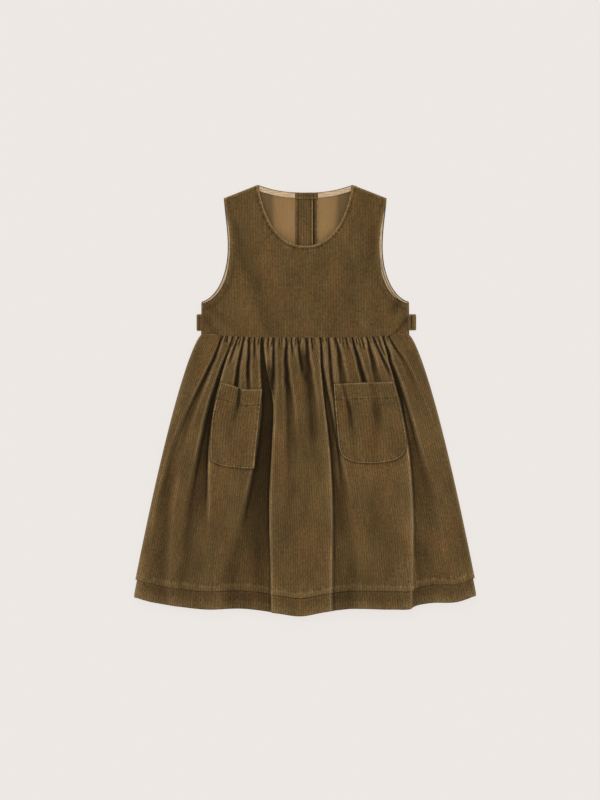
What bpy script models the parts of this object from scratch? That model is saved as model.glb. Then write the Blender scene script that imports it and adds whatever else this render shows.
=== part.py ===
"""A child's corduroy pinafore dress, laid flat on its back.

Functions work in millimetres and the meshes are stored in metres. X runs to the right of a viewer who looks
down at the front, Y from the hem to the shoulders and Z up. The origin is on the surface that the dress lies
on, below the middle of its outline. Each cloth piece is a closed wall lofted between outer and inner points.
"""

import bpy
import bmesh
import numpy as np

MM = 0.001

# Cloth and seams
CLOTH = 1.3  # corduroy wall
BINDING = 1.0  # bias binding wall
SEAM = 0.3  # gap between pieces that meet
EDGE_LAP = 2 * CLOTH + SEAM  # height of two layers where front meets back

# Outline
SHOULDER_NECK = (66.2, 301.7)
SHOULDER_TIP = (114.2, 282.8)
NECK_FRONT_Y = 215.6
NECK_BACK_Y = 290.5
UNDERARM = (145.6, 136.5)
WAIST_HALF = 146.0
WAIST_Y = 87.5
WAIST_RISE = 5.6  # the waist seam is this much higher at the side seams
SKIRT_FLARE = 96.4  # the hem is this much wider than the waist on each side
FLARE_LENGTH = 361.0
FLARE_POWER = 0.735
FLARE_LEAD = 3.5  # the flare starts at the side seams, this far above the middle of the waist
HEM_LINE = {  # lower edge of the hem
    "x": (-239, -217, -183, -150, -82, -57, -40, -7, 27, 61, 128, 145, 161, 178, 220, 239),
    "y": (-277, -283, -288.5, -292.5, -292.5, -295.5, -298.2, -302.4, -296.8, -292.6, -293, -292.6, -287,
          -284.2, -281.4, -275),
}

# Back opening
INNER_EDGE = 10.85  # free edge of the half that lies nearer the wearer
OUTER_EDGE = -6.7  # free edge of the half that carries the buttonholes
FACING_WIDTH = 24.5
CAP_DEPTH = 8.4  # turned top of each placket facing
CAP_RISE = 0.5
CAP_STEP = 0.6  # run over which the cap's lower edge drops
FACING_INSET = 0.2  # from a half's free edge to its facing
BUTTON_RADIUS = 5.5
BUTTON_THICK = 2.0
BUTTON_YS = (272.0, 218.0, 164.0, 110.0)
OUTER_LIFT = BUTTON_THICK + SEAM
INNER_LIFT = OUTER_LIFT + 2 * (CLOTH + SEAM)
LAP_SLOPE = 36.0  # run over which the stacked opening settles to the floor

# Front bodice
BODICE_RISE = 3.4
LAP_HUMP = 4.9
LAP_HUMP_WIDTH = 42.0
NECK_LIFT = 1.6  # the neckline stands this much higher than the middle of the bodice
NECK_LIFT_REACH = 60.0
EDGE_ROLL = 16.0  # width of the rounded edge along shoulders, armholes and sides
BINDING_RIM = 1.1  # cloth that shows outside the binding
BINDING_WIDTH = 7.0
BINDING_LIFT = 1.4  # height that the binding gives to the front's edge above it
BINDING_SHOW = {-1: 2.4, 1: 4.2}  # how far each back armhole stands past the front
SHOW_LEAN = (-0.94, -0.33)  # direction from the back armhole's edge to the front's
BINDING_ENDS = (8, 118)  # points of the armhole between which its binding runs

# Skirt
BACK_TOP = 3.2  # highest point of the back skirt's wall under the folds
RIDGE = {"depth": (0, 8, 25, 60, 120, 200, 300, 400), "rise": (2.0, 3.8, 5.6, 7.6, 9.6, 10.6, 10.6, 10.2)}
SKIRT_ROLL = 13.0  # width of the rounded fold along each side
HEM_TURN = 10.5  # height of the turned hem
HEM_RISE = 0.65  # the turned hem stands this much above the cloth
HEM_INSET = 2.4  # the band below the tuck ends this much short of the tuck on each side
TUCK_FOLD = 25.6  # lower edge of the tuck, above the hem's edge
TUCK_STITCH = 35.5
TUCK_RISE = 2.6
TUCK_SLOPE = 0.5  # how much lower the tuck is at its stitching than at its fold
TUCK_BULK = 1.4  # height that the back's tuck gives to the cloth on it
BACK_GATHERS = 22
GROOVE_PLACES = (0.3, 0.5, 0.7)  # brink, deepest line and brink of each groove, as shares of the spacing
BACK_GROOVE = 1.8
BACK_GROOVE_REACH = 150.0
BACK_INSET = 0.4  # from the front skirt's side fold to the back skirt's edge

# Main folds of the front skirt: x of the trough's foot on each side, run of each wall and share of the ridge
# height that is lost, all at these depths below the waist seam.
DEPTHS = (0, 40, 90, 150, 225, 340)
PLEATS = {
    "left_valley": {
        "left_foot": (-112.4, -117.2, -135.0, -145.5, -156.0, -170.0),
        "right_foot": (-111.2, -114.6, -127.0, -134.8, -139.5, -150.0),
        "left_run": (2.2, 3.5, 5.0, 6.0, 12.0, 16.0),
        "right_run": (2.0, 2.0, 2.5, 2.5, 4.0, 12.0),
        "loss": (0.6, 0.65, 0.95, 0.9, 0.65, 0.35),
    },
    "left_trench": {
        "left_foot": (-61.3, -60.5, -59.5, -64.5, -79.0, -100.0),
        "right_foot": (-59.6, -56.0, -48.3, -48.5, -50.8, -50.5),
        "left_run": (2.0, 2.5, 2.5, 2.5, 12.0, 30.0),
        "right_run": (2.0, 2.5, 2.5, 2.8, 3.0, 4.0),
        "loss": (0.85, 1.0, 1.0, 1.0, 0.85, 0.55),
    },
    "centre_valley": {
        "left_foot": (22.0, 23.5, 29.0, 37.0, 41.7, 43.8),
        "right_foot": (23.5, 25.5, 34.5, 41.5, 57.0, 64.8),
        "left_run": (2.0, 2.2, 3.0, 3.5, 4.0, 4.0),
        "right_run": (2.0, 3.0, 4.0, 4.5, 14.0, 16.0),
        "loss": (0.9, 0.95, 0.85, 0.8, 0.65, 0.6),
    },
    "right_valley": {
        "left_foot": (108.8, 119.3, 133.3, 145.0, 152.3, 155.0),
        "right_foot": (110.7, 122.0, 139.0, 154.3, 171.0, 176.8),
        "left_run": (2.0, 2.0, 2.5, 3.0, 4.0, 5.0),
        "right_run": (2.0, 3.0, 5.0, 8.0, 16.0, 20.0),
        "loss": (0.9, 1.0, 1.0, 0.95, 0.7, 0.5),
    },
}
FOLDS = {
    "left_side": {
        "left_foot": (-119.6, -133.5, -156.5, -180.0, -199.0, -210.0),
        "right_foot": (-118.2, -131.3, -153.0, -175.0, -192.0, -200.0),
        "left_run": (2.2, 5.0, 8.0, 10.0, 11.0, 12.0),
        "right_run": (2.2, 5.0, 8.0, 10.0, 12.0, 12.0),
        "loss": (0.8, 0.75, 0.7, 0.6, 0.45, 0.3),
    },
    "pocket_left_a": {
        "left_foot": (-86.4, -94.3, -99.0, -100.0, -100.0, -100.0),
        "right_foot": (-85.2, -92.0, -97.0, -98.0, -98.0, -98.0),
        "left_run": (2.0, 3.0, 4.0, 4.0, 4.0, 4.0),
        "right_run": (2.0, 3.0, 4.0, 4.0, 4.0, 4.0),
        "loss": (0.85, 0.8, 0.3, 0.0, 0.0, 0.0),
    },
    "pocket_left_b": {
        "left_foot": (-78.0, -80.5, -80.5, -80.5, -80.5, -80.5),
        "right_foot": (-76.8, -78.5, -78.5, -78.5, -78.5, -78.5),
        "left_run": (2.0, 3.0, 4.0, 4.0, 4.0, 4.0),
        "right_run": (2.0, 3.0, 4.0, 4.0, 4.0, 4.0),
        "loss": (0.8, 0.75, 0.2, 0.0, 0.0, 0.0),
    },
    "centre_left": {
        "left_foot": (-25.5, -27.0, -24.0, -21.5, -20.0, -20.0),
        "right_foot": (-24.3, -25.0, -20.5, -18.0, -16.0, -16.0),
        "left_run": (2.0, 4.0, 7.0, 10.0, 12.0, 12.0),
        "right_run": (2.0, 4.0, 7.0, 10.0, 12.0, 12.0),
        "loss": (0.85, 0.8, 0.5, 0.25, 0.05, 0.0),
    },
    "centre_right": {
        "left_foot": (0.7, 4.5, 8.5, 11.0, 12.0, 12.0),
        "right_foot": (1.7, 6.5, 11.5, 15.0, 16.0, 16.0),
        "left_run": (2.0, 7.0, 10.0, 11.0, 11.0, 11.0),
        "right_run": (2.0, 4.0, 7.0, 9.0, 10.0, 10.0),
        "loss": (0.75, 0.65, 0.45, 0.2, 0.05, 0.0),
    },
    "pocket_right_a": {
        "left_foot": (42.0, 50.0, 53.5, 64.0, 66.0, 66.0),
        "right_foot": (43.0, 52.5, 57.0, 67.0, 69.0, 69.0),
        "left_run": (2.0, 4.0, 5.0, 6.0, 6.0, 6.0),
        "right_run": (2.0, 4.0, 5.0, 6.0, 6.0, 6.0),
        "loss": (0.8, 0.6, 0.25, 0.1, 0.0, 0.0),
    },
    "pocket_right_b": {
        "left_foot": (65.0, 76.0, 90.0, 98.0, 100.0, 100.0),
        "right_foot": (66.2, 78.8, 93.0, 101.0, 103.0, 103.0),
        "left_run": (2.0, 3.5, 5.0, 6.0, 6.0, 6.0),
        "right_run": (2.0, 3.5, 5.0, 6.0, 6.0, 6.0),
        "loss": (0.9, 0.85, 0.35, 0.1, 0.0, 0.0),
    },
    "pocket_right_c": {
        "left_foot": (85.4, 97.5, 107.0, 112.0, 112.0, 112.0),
        "right_foot": (86.6, 100.0, 109.0, 114.0, 114.0, 114.0),
        "left_run": (2.0, 3.0, 4.0, 4.0, 4.0, 4.0),
        "right_run": (2.0, 3.0, 4.0, 4.0, 4.0, 4.0),
        "loss": (0.8, 0.75, 0.1, 0.0, 0.0, 0.0),
    },
    "right_side": {
        "left_foot": (116.5, 140.0, 158.0, 176.0, 186.0, 190.0),
        "right_foot": (117.5, 142.0, 161.0, 182.0, 192.0, 196.0),
        "left_run": (2.0, 5.0, 8.0, 10.0, 10.0, 10.0),
        "right_run": (2.0, 5.0, 8.0, 10.0, 10.0, 10.0),
        "loss": (0.7, 0.55, 0.35, 0.15, 0.0, 0.0),
    },
}
# Short gathers under the waist seam: x at the seam and at the second of DEPTHS
GATHER_COLUMNS = ("seam_x", "lower_x", "reach", "loss")
GATHERS = (
    (-104.5, -113.0, 34, 0.4),
    (-97.0, -107.5, 50, 0.85),
    (-71.0, -71.5, 34, 0.9),
    (-51.5, -52.0, 24, 0.5),
    (-43.5, -46.5, 130, 0.95),
    (-36.0, -37.0, 17, 0.6),
    (-19.3, -17.0, 30, 0.85),
    (-9.0, -5.0, 62, 0.85),
    (9.5, 11.5, 22, 0.75),
    (32.5, 36.2, 95, 0.8),
    (57.0, 66.0, 21, 0.6),
    (79.0, 88.0, 19, 0.7),
    (95.5, 112.0, 60, 0.75),
    (101.0, 111.0, 14, 0.45),
)
GATHER_RUN = 2.4

# Patch pockets: each edge from the top corner round to the other, through these points
POCKETS = {
    "pocket_left": {
        "top": ((-118.0, 24.4), (-110.0, 22.6), (-102.0, 20.4), (-93.5, 17.2), (-90.0, 16.0), (-60.5, 15.2)),
        "right": ((-60.5, 15.2), (-65.2, -29.4), (-68.0, -56.0), (-71.5, -95.2)),
        "bottom": ((-132.0, -84.0), (-121.5, -89.6), (-101.0, -93.8), (-80.9, -95.6), (-71.5, -95.2)),
        "left": ((-118.0, 24.4), (-129.2, -22.4), (-131.8, -50.0), (-132.0, -84.0)),
    },
    "pocket_right": {
        "top": ((40.0, 22.4), (87.2, 24.4), (124.0, 25.4)),
        "right": ((124.0, 25.4), (132.7, -6.4), (138.0, -33.6), (141.2, -58.0), (140.0, -70.0), (135.3, -77.6)),
        "bottom": ((50.8, -76.2), (57.8, -82.2), (68.4, -86.2), (87.2, -88.2), (113.8, -86.2), (127.3, -83.0),
                   (135.3, -77.6)),
        "left": ((40.0, 22.4), (41.4, -1.0), (43.4, -25.2), (46.0, -54.0), (47.6, -67.0), (50.8, -76.2)),
    },
}
POCKET_HEM = 22.0  # width of the hem along a pocket's top
POCKET_HEM_RISE = 0.8
POCKET_LIFT = 0.5  # air under a pocket, above the folds that it spans
POCKET_SPAN = 3.0  # how far a pocket stays level past the brink of a fold

# Belt loops: x of the leg sewn to the seam, of the slot and of the side that stands out, then the ends in y
LOOPS = {
    "belt_loop_left": {"side": -1, "seam": 146.4, "slot": (147.5, 148.7), "reach": 152.2, "y": (96.8, 120.2)},
    "belt_loop_right": {"side": 1, "seam": 146.4, "slot": (147.9, 149.9), "reach": 155.4, "y": (97.6, 120.2)},
}
LOOP_ARM = 2.4
LOOP_HEIGHT = 8.0

# Columns and rows of the meshes, closer together where the cloth curves
NECK_COLUMNS = 8
SHOULDER_SHARES = (0.22, 0.44, 0.64, 0.8, 0.92, 1.0)
SHOULDER_START = 0.62  # share of the waist below the neck point
ARMHOLE_SHARES = (0, 0.045, 0.12, 0.21, 0.31, 0.42, 0.53, 0.62, 0.7, 0.77, 0.84, 0.9, 0.95, 1)
SIDE_ROWS = 3
SKIRT_SPANS = (3, 14, 2, 2, 2, 16, 2, 2, 2, 26, 2, 2, 2, 30, 2, 2, 2, 10, 3)  # columns between feature lines
WIDE_SPAN = 10  # spans with at least this many columns keep every second one lower down
SKIRT_ROWS = {"every column": (0, 3, 10, 22, 40, 62), "every second": (92, 130, 172, 216, 262, 306)}
HEM_ROWS = (42.0, TUCK_STITCH, TUCK_STITCH - 2, TUCK_FOLD + 0.3, TUCK_FOLD - 0.3, HEM_TURN + 0.6, HEM_TURN, 0.0)
BACK_ROWS = {"every column": (0, 12, 35, 70, 120, 150), "every third": (220, 290)}
BACK_HEM_ROWS = (46.0, TUCK_FOLD + 0.3, TUCK_FOLD - 0.3, HEM_TURN, 0.0)
BACK_HEM_SHORT = 0.6  # the back's hem is this much shorter than the front's
SKIRT_LENGTH = 380.0

COLOURS = {
    "corduroy": (0.113, 0.065, 0.024, 1.0),
    "corduroy_inside": (0.287, 0.165, 0.070, 1.0),
    "binding": (0.578, 0.402, 0.235, 1.0),
    "button": (0.093, 0.052, 0.026, 1.0),
}


def smoothstep(t):
    t = np.clip(t, 0.0, 1.0)
    return t * t * (3 - 2 * t)


def curve_through(stations, values, at):
    """A smooth curve through values at stations, held level past both ends."""
    s = np.asarray(stations, float)
    v = np.asarray(values, float)
    slope = np.gradient(v, s)
    at = np.clip(at, s[0], s[-1])
    k = np.clip(np.searchsorted(s, at) - 1, 0, len(s) - 2)
    step = s[k + 1] - s[k]
    t = (at - s[k]) / step
    start = (2 * t**3 - 3 * t**2 + 1) * v[k] + (t**3 - 2 * t**2 + t) * step * slope[k]
    return start + (3 * t**2 - 2 * t**3) * v[k + 1] + (t**3 - t**2) * step * slope[k + 1]


def bezier(points, t):
    """Points of a cubic Bezier arc, one row for each t."""
    p = np.asarray(points, float)
    t = np.asarray(t, float)[:, None]
    return (1 - t) ** 3 * p[0] + 3 * (1 - t) ** 2 * t * p[1] + 3 * (1 - t) * t**2 * p[2] + t**3 * p[3]


def along(points, count, smooth=False, shares=None):
    """count + 1 points at even lengths along a path, or at these shares of its length."""
    p = np.asarray(points, float)
    length = np.concatenate([[0], np.cumsum(np.hypot(*np.diff(p, axis=0).T))])
    at = np.linspace(0, length[-1], count + 1) if shares is None else np.array(shares) * length[-1]
    read = curve_through if smooth else lambda s, v, a: np.interp(a, s, v)
    return np.stack([read(length, p[:, 0], at), read(length, p[:, 1], at)], axis=1)


# Outline ----------------------------------------------------------------------------------------------------


def armhole(count):
    """The right back armhole from shoulder tip to underarm."""
    fine = np.linspace(0, 1, 40)
    narrowest = (107.8, 215.0)
    upper = bezier((SHOULDER_TIP, (112.5, 262.0), (107.8, 240.0), narrowest), fine)
    lower = bezier((narrowest, (107.8, 172.0), (126.0, 142.0), UNDERARM), fine)
    return along(np.concatenate([upper, lower[1:]]), count)


ARMHOLE = armhole(120)


def front_neck(count):
    """The right half of the U neckline from the centre front up to the neck point."""
    arc = ((0.0, NECK_FRONT_Y), (40.6, NECK_FRONT_Y), (58.8, 259.7), SHOULDER_NECK)
    return along(bezier(arc, np.linspace(0, 1, 40)), count)


NECKLINE = front_neck(60)


def back_neck_y(x):
    return NECK_BACK_Y + (SHOULDER_NECK[1] - NECK_BACK_Y) * (np.abs(x) / SHOULDER_NECK[0]) ** 2.2


def shoulder_y(x):
    return np.interp(np.abs(x), (SHOULDER_NECK[0], SHOULDER_TIP[0]), (SHOULDER_NECK[1], SHOULDER_TIP[1]))


def waist_y(x):
    return WAIST_Y + WAIST_RISE * (np.abs(x) / WAIST_HALF) ** 3


def bodice_half(y):
    """Half width of the bodice's outline at a height."""
    ys = np.concatenate([[WAIST_Y], ARMHOLE[::-1, 1]])
    xs = np.concatenate([[WAIST_HALF], ARMHOLE[::-1, 0]])
    return np.interp(y, ys, xs)


def skirt_half(depth):
    share = (depth + FLARE_LEAD) / (FLARE_LENGTH + FLARE_LEAD)
    return WAIST_HALF + SKIRT_FLARE * np.clip(share, 0, 1.1) ** FLARE_POWER


def hem_y(x):
    return curve_through(HEM_LINE["x"], HEM_LINE["y"], x)


# Heights ----------------------------------------------------------------------------------------------------


def rounded(distance, radius):
    """0 at an edge, rising like a quarter circle to 1 at the radius."""
    return np.sqrt(1 - (1 - np.clip(distance / radius, 0, 1)) ** 2)


def trough(x, depth, fold):
    """How much of the ridge height a fold takes away at a point: 0 outside it, its loss on its floor."""
    left, right, left_run, right_run, loss = (
        curve_through(DEPTHS, fold[column], depth) for column in ("left_foot", "right_foot", "left_run",
                                                                   "right_run", "loss")
    )
    outside = np.maximum((left - x) / left_run, (x - right) / right_run)
    return loss * (1 - smoothstep(outside))


def gather(x, depth, row):
    """A short gather: a notch that leaves the seam, leans and fades."""
    notch = dict(zip(GATHER_COLUMNS, row))
    centre = notch["seam_x"] + (notch["lower_x"] - notch["seam_x"]) * depth / DEPTHS[1]
    along_it = depth / notch["reach"]
    run = GATHER_RUN * (1 + 0.6 * along_it)
    fade = 1 - smoothstep((along_it - 0.35) / 0.65)
    return notch["loss"] * fade * (1 - smoothstep(np.abs(x - centre) / run))


def lap_hump(x):
    """Height that the stacked back opening gives to what lies on it."""
    return LAP_HUMP * np.exp(-(((x + 3) / LAP_HUMP_WIDTH) ** 2))


def skirt_height(x, y, above_hem, gathered=True):
    """Outer surface of the front skirt without its tuck."""
    depth = np.maximum(WAIST_Y - y, 0)
    open_share = np.ones_like(x)
    for fold in PLEATS.values():
        open_share = open_share * (1 - trough(x, depth, fold))
    if gathered:
        for fold in FOLDS.values():
            open_share = open_share * (1 - trough(x, depth, fold))
        for row in GATHERS:
            open_share = open_share * (1 - gather(x, depth, row))
    else:
        open_share = open_share * (1 - trough(x, depth, FOLDS["left_side"]))
    floor = BACK_TOP + 2 * SEAM + CLOTH + TUCK_BULK * smoothstep(1 - (above_hem - TUCK_STITCH) / 30)
    floor = floor + lap_hump(x) * smoothstep(1 - depth / 60)
    ridge = np.interp(depth, RIDGE["depth"], RIDGE["rise"]) * open_share
    side = skirt_half(WAIST_Y - y) - np.abs(x)
    return EDGE_LAP + (floor + ridge - EDGE_LAP) * rounded(side, SKIRT_ROLL)


def tuck_rise(above_hem):
    """The tuck stands on the cloth between its stitching and its fold."""
    return np.interp(above_hem, (TUCK_FOLD - 0.2, TUCK_FOLD + 0.2, TUCK_STITCH - 2, TUCK_STITCH),
                     (0, TUCK_RISE, TUCK_RISE - TUCK_SLOPE, 0))


def lap_low(x, edge, lift):
    """Underside of a back half: level where it overlaps, then down to the floor."""
    past = (edge - x) if edge < 0 else (x - edge)
    return lift * (1 - smoothstep(past / LAP_SLOPE))


def back_left_low(x):
    return lap_low(x, OUTER_EDGE, INNER_LIFT)


def back_right_low(x):
    return lap_low(x, OUTER_EDGE + FACING_WIDTH, OUTER_LIFT)


def from_neckline(x, y):
    """Distance to the front neckline."""
    return np.hypot(np.abs(x)[:, None] - NECKLINE[:, 0], y[:, None] - NECKLINE[:, 1]).min(axis=1)


def bodice_height(x, y):
    """Outer surface of the front bodice."""
    side = bodice_half(y) - np.abs(x)
    lower_arm = ARMHOLE[len(ARMHOLE) // 2:]
    under_arm = np.interp(np.abs(x), lower_arm[:, 0], lower_arm[:, 1], left=1000.0) - y
    under_arm = np.maximum(under_arm, 0.01)
    side = np.maximum(side, 0) * under_arm / np.hypot(np.maximum(side, 0.01), under_arm)
    shoulder = 0.9 * np.maximum(shoulder_y(x) - y, 0)
    on_binding = smoothstep((y - UNDERARM[1] + 14) / 6) * smoothstep((shoulder - 1) / 5)
    edge = EDGE_LAP + BINDING_LIFT * on_binding
    neck = NECK_LIFT * (1 - smoothstep(from_neckline(x, y) / NECK_LIFT_REACH))
    body = EDGE_LAP + BODICE_RISE + lap_hump(x) + neck
    seam_dip = 0.5 * (1 - smoothstep((y - waist_y(x)) / 4))
    return edge + (body - edge - seam_dip) * rounded(np.minimum(side, shoulder), EDGE_ROLL)


# Meshes -----------------------------------------------------------------------------------------------------


def material(name):
    """A Principled material for one kind of cloth or part."""
    if name in bpy.data.materials:
        return bpy.data.materials[name]
    made = bpy.data.materials.new(name)
    made.use_nodes = True
    shader = made.node_tree.nodes["Principled BSDF"]
    shader.inputs["Base Color"].default_value = COLOURS[name]
    shader.inputs["Roughness"].default_value = 0.35 if name == "button" else 0.95
    made.diffuse_color = COLOURS[name]
    return made


def add_object(name, mesh, slot):
    mesh.materials.append(material(slot))
    obj = bpy.data.objects.new(name, mesh)
    dress.objects.link(obj)
    return obj


def cloth_solid(name, rows, slot):
    """A closed wall from rows of (columns, outer points, inner points); a row may skip columns of the next."""
    bm = bmesh.new()
    layers = []
    for layer in (1, 2):
        layers.append([dict(zip(row[0], [bm.verts.new(p * MM) for p in row[layer]])) for row in rows])
    for layer in layers:
        for upper, lower in zip(layer, layer[1:]):
            shared = sorted(set(upper) & set(lower))
            for a, b in zip(shared, shared[1:]):
                top = [upper[c] for c in sorted(upper) if a <= c <= b]
                bottom = [lower[c] for c in sorted(lower, reverse=True) if a <= c <= b]
                bm.faces.new(top + bottom)
    outer, inner = layers
    for row in (0, -1):
        columns = sorted(outer[row])
        for a, b in zip(columns, columns[1:]):
            bm.faces.new((outer[row][a], outer[row][b], inner[row][b], inner[row][a]))
    for column in (rows[0][0][0], rows[0][0][-1]):
        for r in range(len(rows) - 1):
            bm.faces.new((outer[r][column], outer[r + 1][column], inner[r + 1][column], inner[r][column]))
    bmesh.ops.recalc_face_normals(bm, faces=bm.faces)
    mesh = bpy.data.meshes.new(name)
    bm.to_mesh(mesh)
    bm.free()
    mesh.shade_smooth()
    mesh.set_sharp_from_angle(angle=np.radians(50))
    return add_object(name, mesh, slot)


def row_of(xy, outer_z, inner_z, columns=None):
    """One row for cloth_solid from plan points and its two heights."""
    columns = list(range(len(xy))) if columns is None else list(columns)
    outer = np.column_stack([xy, outer_z])
    inner = np.column_stack([xy, inner_z])
    return columns, outer, inner


def patch(top, bottom, left, right):
    """Plan points of a four-sided panel, filled between its four edges."""
    rows, columns = len(left), len(top)
    v = np.linspace(0, 1, rows)[:, None, None]
    u = np.linspace(0, 1, columns)[None, :, None]
    between = (1 - v) * top[None] + v * bottom[None] + (1 - u) * left[:, None] + u * right[:, None]
    corners = (1 - v) * ((1 - u) * top[0] + u * top[-1]) + v * ((1 - u) * bottom[0] + u * bottom[-1])
    return between - corners


# Pieces -----------------------------------------------------------------------------------------------------


def shoulder_line():
    """Points of the right shoulder seam past the neck point."""
    return np.array(SHOULDER_NECK) + np.outer(SHOULDER_SHARES, np.subtract(SHOULDER_TIP, SHOULDER_NECK))


def side_line(show=0.0):
    """The right armhole and side seam from the shoulder tip to the waist; show sets the armhole in."""
    shares = np.array(ARMHOLE_SHARES)
    hole = along(ARMHOLE, len(shares) - 1, shares=shares)
    inset = show * smoothstep(shares / 0.25) * (1 - 0.85 * smoothstep(3 * shares - 2))
    seam = np.linspace(UNDERARM, (WAIST_HALF, waist_y(WAIST_HALF)), SIDE_ROWS + 1)[1:]
    return np.concatenate([hole + inset[:, None] * SHOW_LEAN, seam])


def bodice_front_plan():
    """Plan points of the front bodice: two halves that share the centre-front column."""
    top = np.concatenate([front_neck(NECK_COLUMNS), shoulder_line()])
    below_neck = np.linspace(0, SHOULDER_START, NECK_COLUMNS + 1)
    below_shoulder = SHOULDER_START + (1 - SHOULDER_START) * np.array(SHOULDER_SHARES)
    waist_x = WAIST_HALF * np.concatenate([below_neck, below_shoulder])
    bottom = np.column_stack([waist_x, waist_y(waist_x)])
    halves = {}
    for side, show in BINDING_SHOW.items():
        outer = side_line(show)
        centre = np.column_stack([np.zeros(len(outer)), np.linspace(NECK_FRONT_Y, WAIST_Y, len(outer))])
        halves[side] = patch(top, bottom, centre, outer) * (side, 1)
    return np.concatenate([halves[-1][:, ::-1], halves[1][:, 1:]], axis=1)


def bodice_front():
    rows = []
    for xy in bodice_front_plan():
        z = bodice_height(xy[:, 0], xy[:, 1])
        rows.append(row_of(xy, z, z - CLOTH))
    return cloth_solid("bodice_front", rows, "corduroy")


def bodice_back(name, side, edge, low):
    """One back half from its free edge at the opening to its armhole and side seam."""
    neck_x = np.linspace(edge, side * SHOULDER_NECK[0], 13)
    neck = np.column_stack([neck_x, back_neck_y(neck_x)])
    top = np.concatenate([neck, shoulder_line() * (side, 1)])
    outer = side_line() * (side, 1)
    bottom_x = np.linspace(edge, side * WAIST_HALF, len(top))
    bottom = np.column_stack([bottom_x, waist_y(bottom_x)])
    free_y = np.linspace(back_neck_y(edge), waist_y(edge), len(outer))
    free = np.column_stack([np.full(len(outer), edge), free_y])
    rows = []
    for xy in patch(top, bottom, free, outer):
        z = low(xy[:, 0])
        rows.append(row_of(xy, z + CLOTH, z))
    return cloth_solid(name, rows, "corduroy_inside")


def placket_facing(name, x0, x1, low, open_from):
    """Strip of corduroy turned in along the opening; its capped top, which covers the binding's end, is raised
    where the other half doesn't lie on it."""
    x = np.linspace(x0, x1, 6)
    rows = []
    top_y = back_neck_y(x) - SEAM
    length = top_y - waist_y(x) - SEAM
    cap, below_cap = CAP_DEPTH / length, (CAP_DEPTH + CAP_STEP) / length
    for share, rise in ((0, CAP_RISE), (cap, CAP_RISE), (below_cap, 0), (0.35, 0), (0.68, 0), (1, 0)):
        y = top_y - length * share
        z = low(x) + CLOTH + SEAM
        rows.append(row_of(np.column_stack([x, y]), z + CLOTH + rise * (x > open_from), z))
    return cloth_solid(name, rows, "corduroy")


def neck_binding(name, x0, x1, low):
    """Sand binding inside the back neck, from the placket to the shoulder seam."""
    x = np.linspace(x0, x1, 13)
    edge_y = back_neck_y(x) - BINDING_RIM
    rows = []
    for across in (0.0, 0.5, 1.0):
        y = edge_y - BINDING_WIDTH * across
        z = low(x) + CLOTH + SEAM
        rows.append(row_of(np.column_stack([x, y]), z + BINDING, z))
    return cloth_solid(name, rows, "binding")


def armhole_binding(name, side):
    """Sand binding inside the back armhole; its outer part shows past the front's edge."""
    path = along(ARMHOLE[slice(*BINDING_ENDS)], 22)
    ahead = np.gradient(path, axis=0)
    inward = np.column_stack([ahead[:, 1], -ahead[:, 0]]) / np.hypot(*ahead.T)[:, None]
    rows = []
    for across in (0.0, 0.5, 1.0):
        xy = (path + inward * (BINDING_RIM + BINDING_WIDTH * across)) * (side, 1)
        z = np.full(len(xy), CLOTH + SEAM)
        rows.append(row_of(xy, z + BINDING, z))
    return cloth_solid(name, rows, "binding")


def skirt_features():
    """x of each line that a column follows, at a depth below the waist: sides, and feet and brinks of folds."""
    lines = [lambda d: -skirt_half(d), lambda d: 8.0 - skirt_half(d)]
    for fold in PLEATS.values():
        def read(column, d, fold=fold):
            return curve_through(DEPTHS, fold[column], d)
        lines.append(lambda d, read=read: read("left_foot", d) - read("left_run", d))
        lines.append(lambda d, read=read: read("left_foot", d))
        lines.append(lambda d, read=read: read("right_foot", d))
        lines.append(lambda d, read=read: read("right_foot", d) + read("right_run", d))
    lines += [lambda d: skirt_half(d) - 8.0, lambda d: skirt_half(d)]
    return lines


def skirt_plan():
    """Plan points of the skirt's rows: for each row its columns, points and height above the hem's edge."""
    lines = skirt_features()
    numbers = np.concatenate([[0], np.cumsum(SKIRT_SPANS)])
    coarse = set(numbers.tolist())
    for start, span in zip(numbers, SKIRT_SPANS):
        coarse |= set(range(start, start + span, 2 if span >= WIDE_SPAN else 1))
    top_x = np.array([line(-WAIST_RISE) for line in lines])
    hem_x = top_x.copy()
    for _ in range(4):
        hem_x = np.array([line(WAIST_Y - hem_y(x)) for line, x in zip(lines, hem_x)])
    columns = np.arange(numbers[-1] + 1)
    top = np.interp(columns, numbers, top_x)
    hem = np.interp(columns, numbers, hem_x)
    plan = [(d / SKIRT_LENGTH, 0.0, columns) for d in SKIRT_ROWS["every column"]]
    plan += [(d / SKIRT_LENGTH, 0.0, sorted(coarse)) for d in SKIRT_ROWS["every second"]]
    plan += [(1.0, rise, sorted(coarse)) for rise in HEM_ROWS]
    rows = []
    for share, rise, kept in plan:
        kept = np.array(kept)
        y_line = (1 - share) * waist_y(top_x) + share * (hem_y(hem_x) + rise)
        line_x = np.array([line(WAIST_Y - y) for line, y in zip(lines, y_line)])
        x = np.interp(kept, numbers, line_x)
        y = (1 - share) * waist_y(top[kept]) + share * (hem_y(hem[kept]) + rise) - SEAM * (share == 0)
        above = y - hem_y(x) if share < 1 else np.full(len(x), rise)
        rows.append((kept, np.column_stack([x, y]), above))
    return rows


def below_tuck_set_in(xy, above):
    """Plan points of a skirt's row, moved in where they lie below the tuck."""
    narrow = HEM_INSET / skirt_half(FLARE_LENGTH) * (above < TUCK_FOLD)
    return xy * np.column_stack([1 - narrow, np.ones(len(xy))])


def skirt_front():
    rows = []
    for columns, xy, above in skirt_plan():
        on_hem = above <= HEM_TURN
        z = skirt_height(xy[:, 0], xy[:, 1], above) + HEM_RISE * on_hem
        inner = np.maximum(z - CLOTH * (1 + on_hem), back_top(xy))
        rows.append(row_of(below_tuck_set_in(xy, above), z + tuck_rise(above), inner, columns))
    return cloth_solid("skirt_front", rows, "corduroy")


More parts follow.
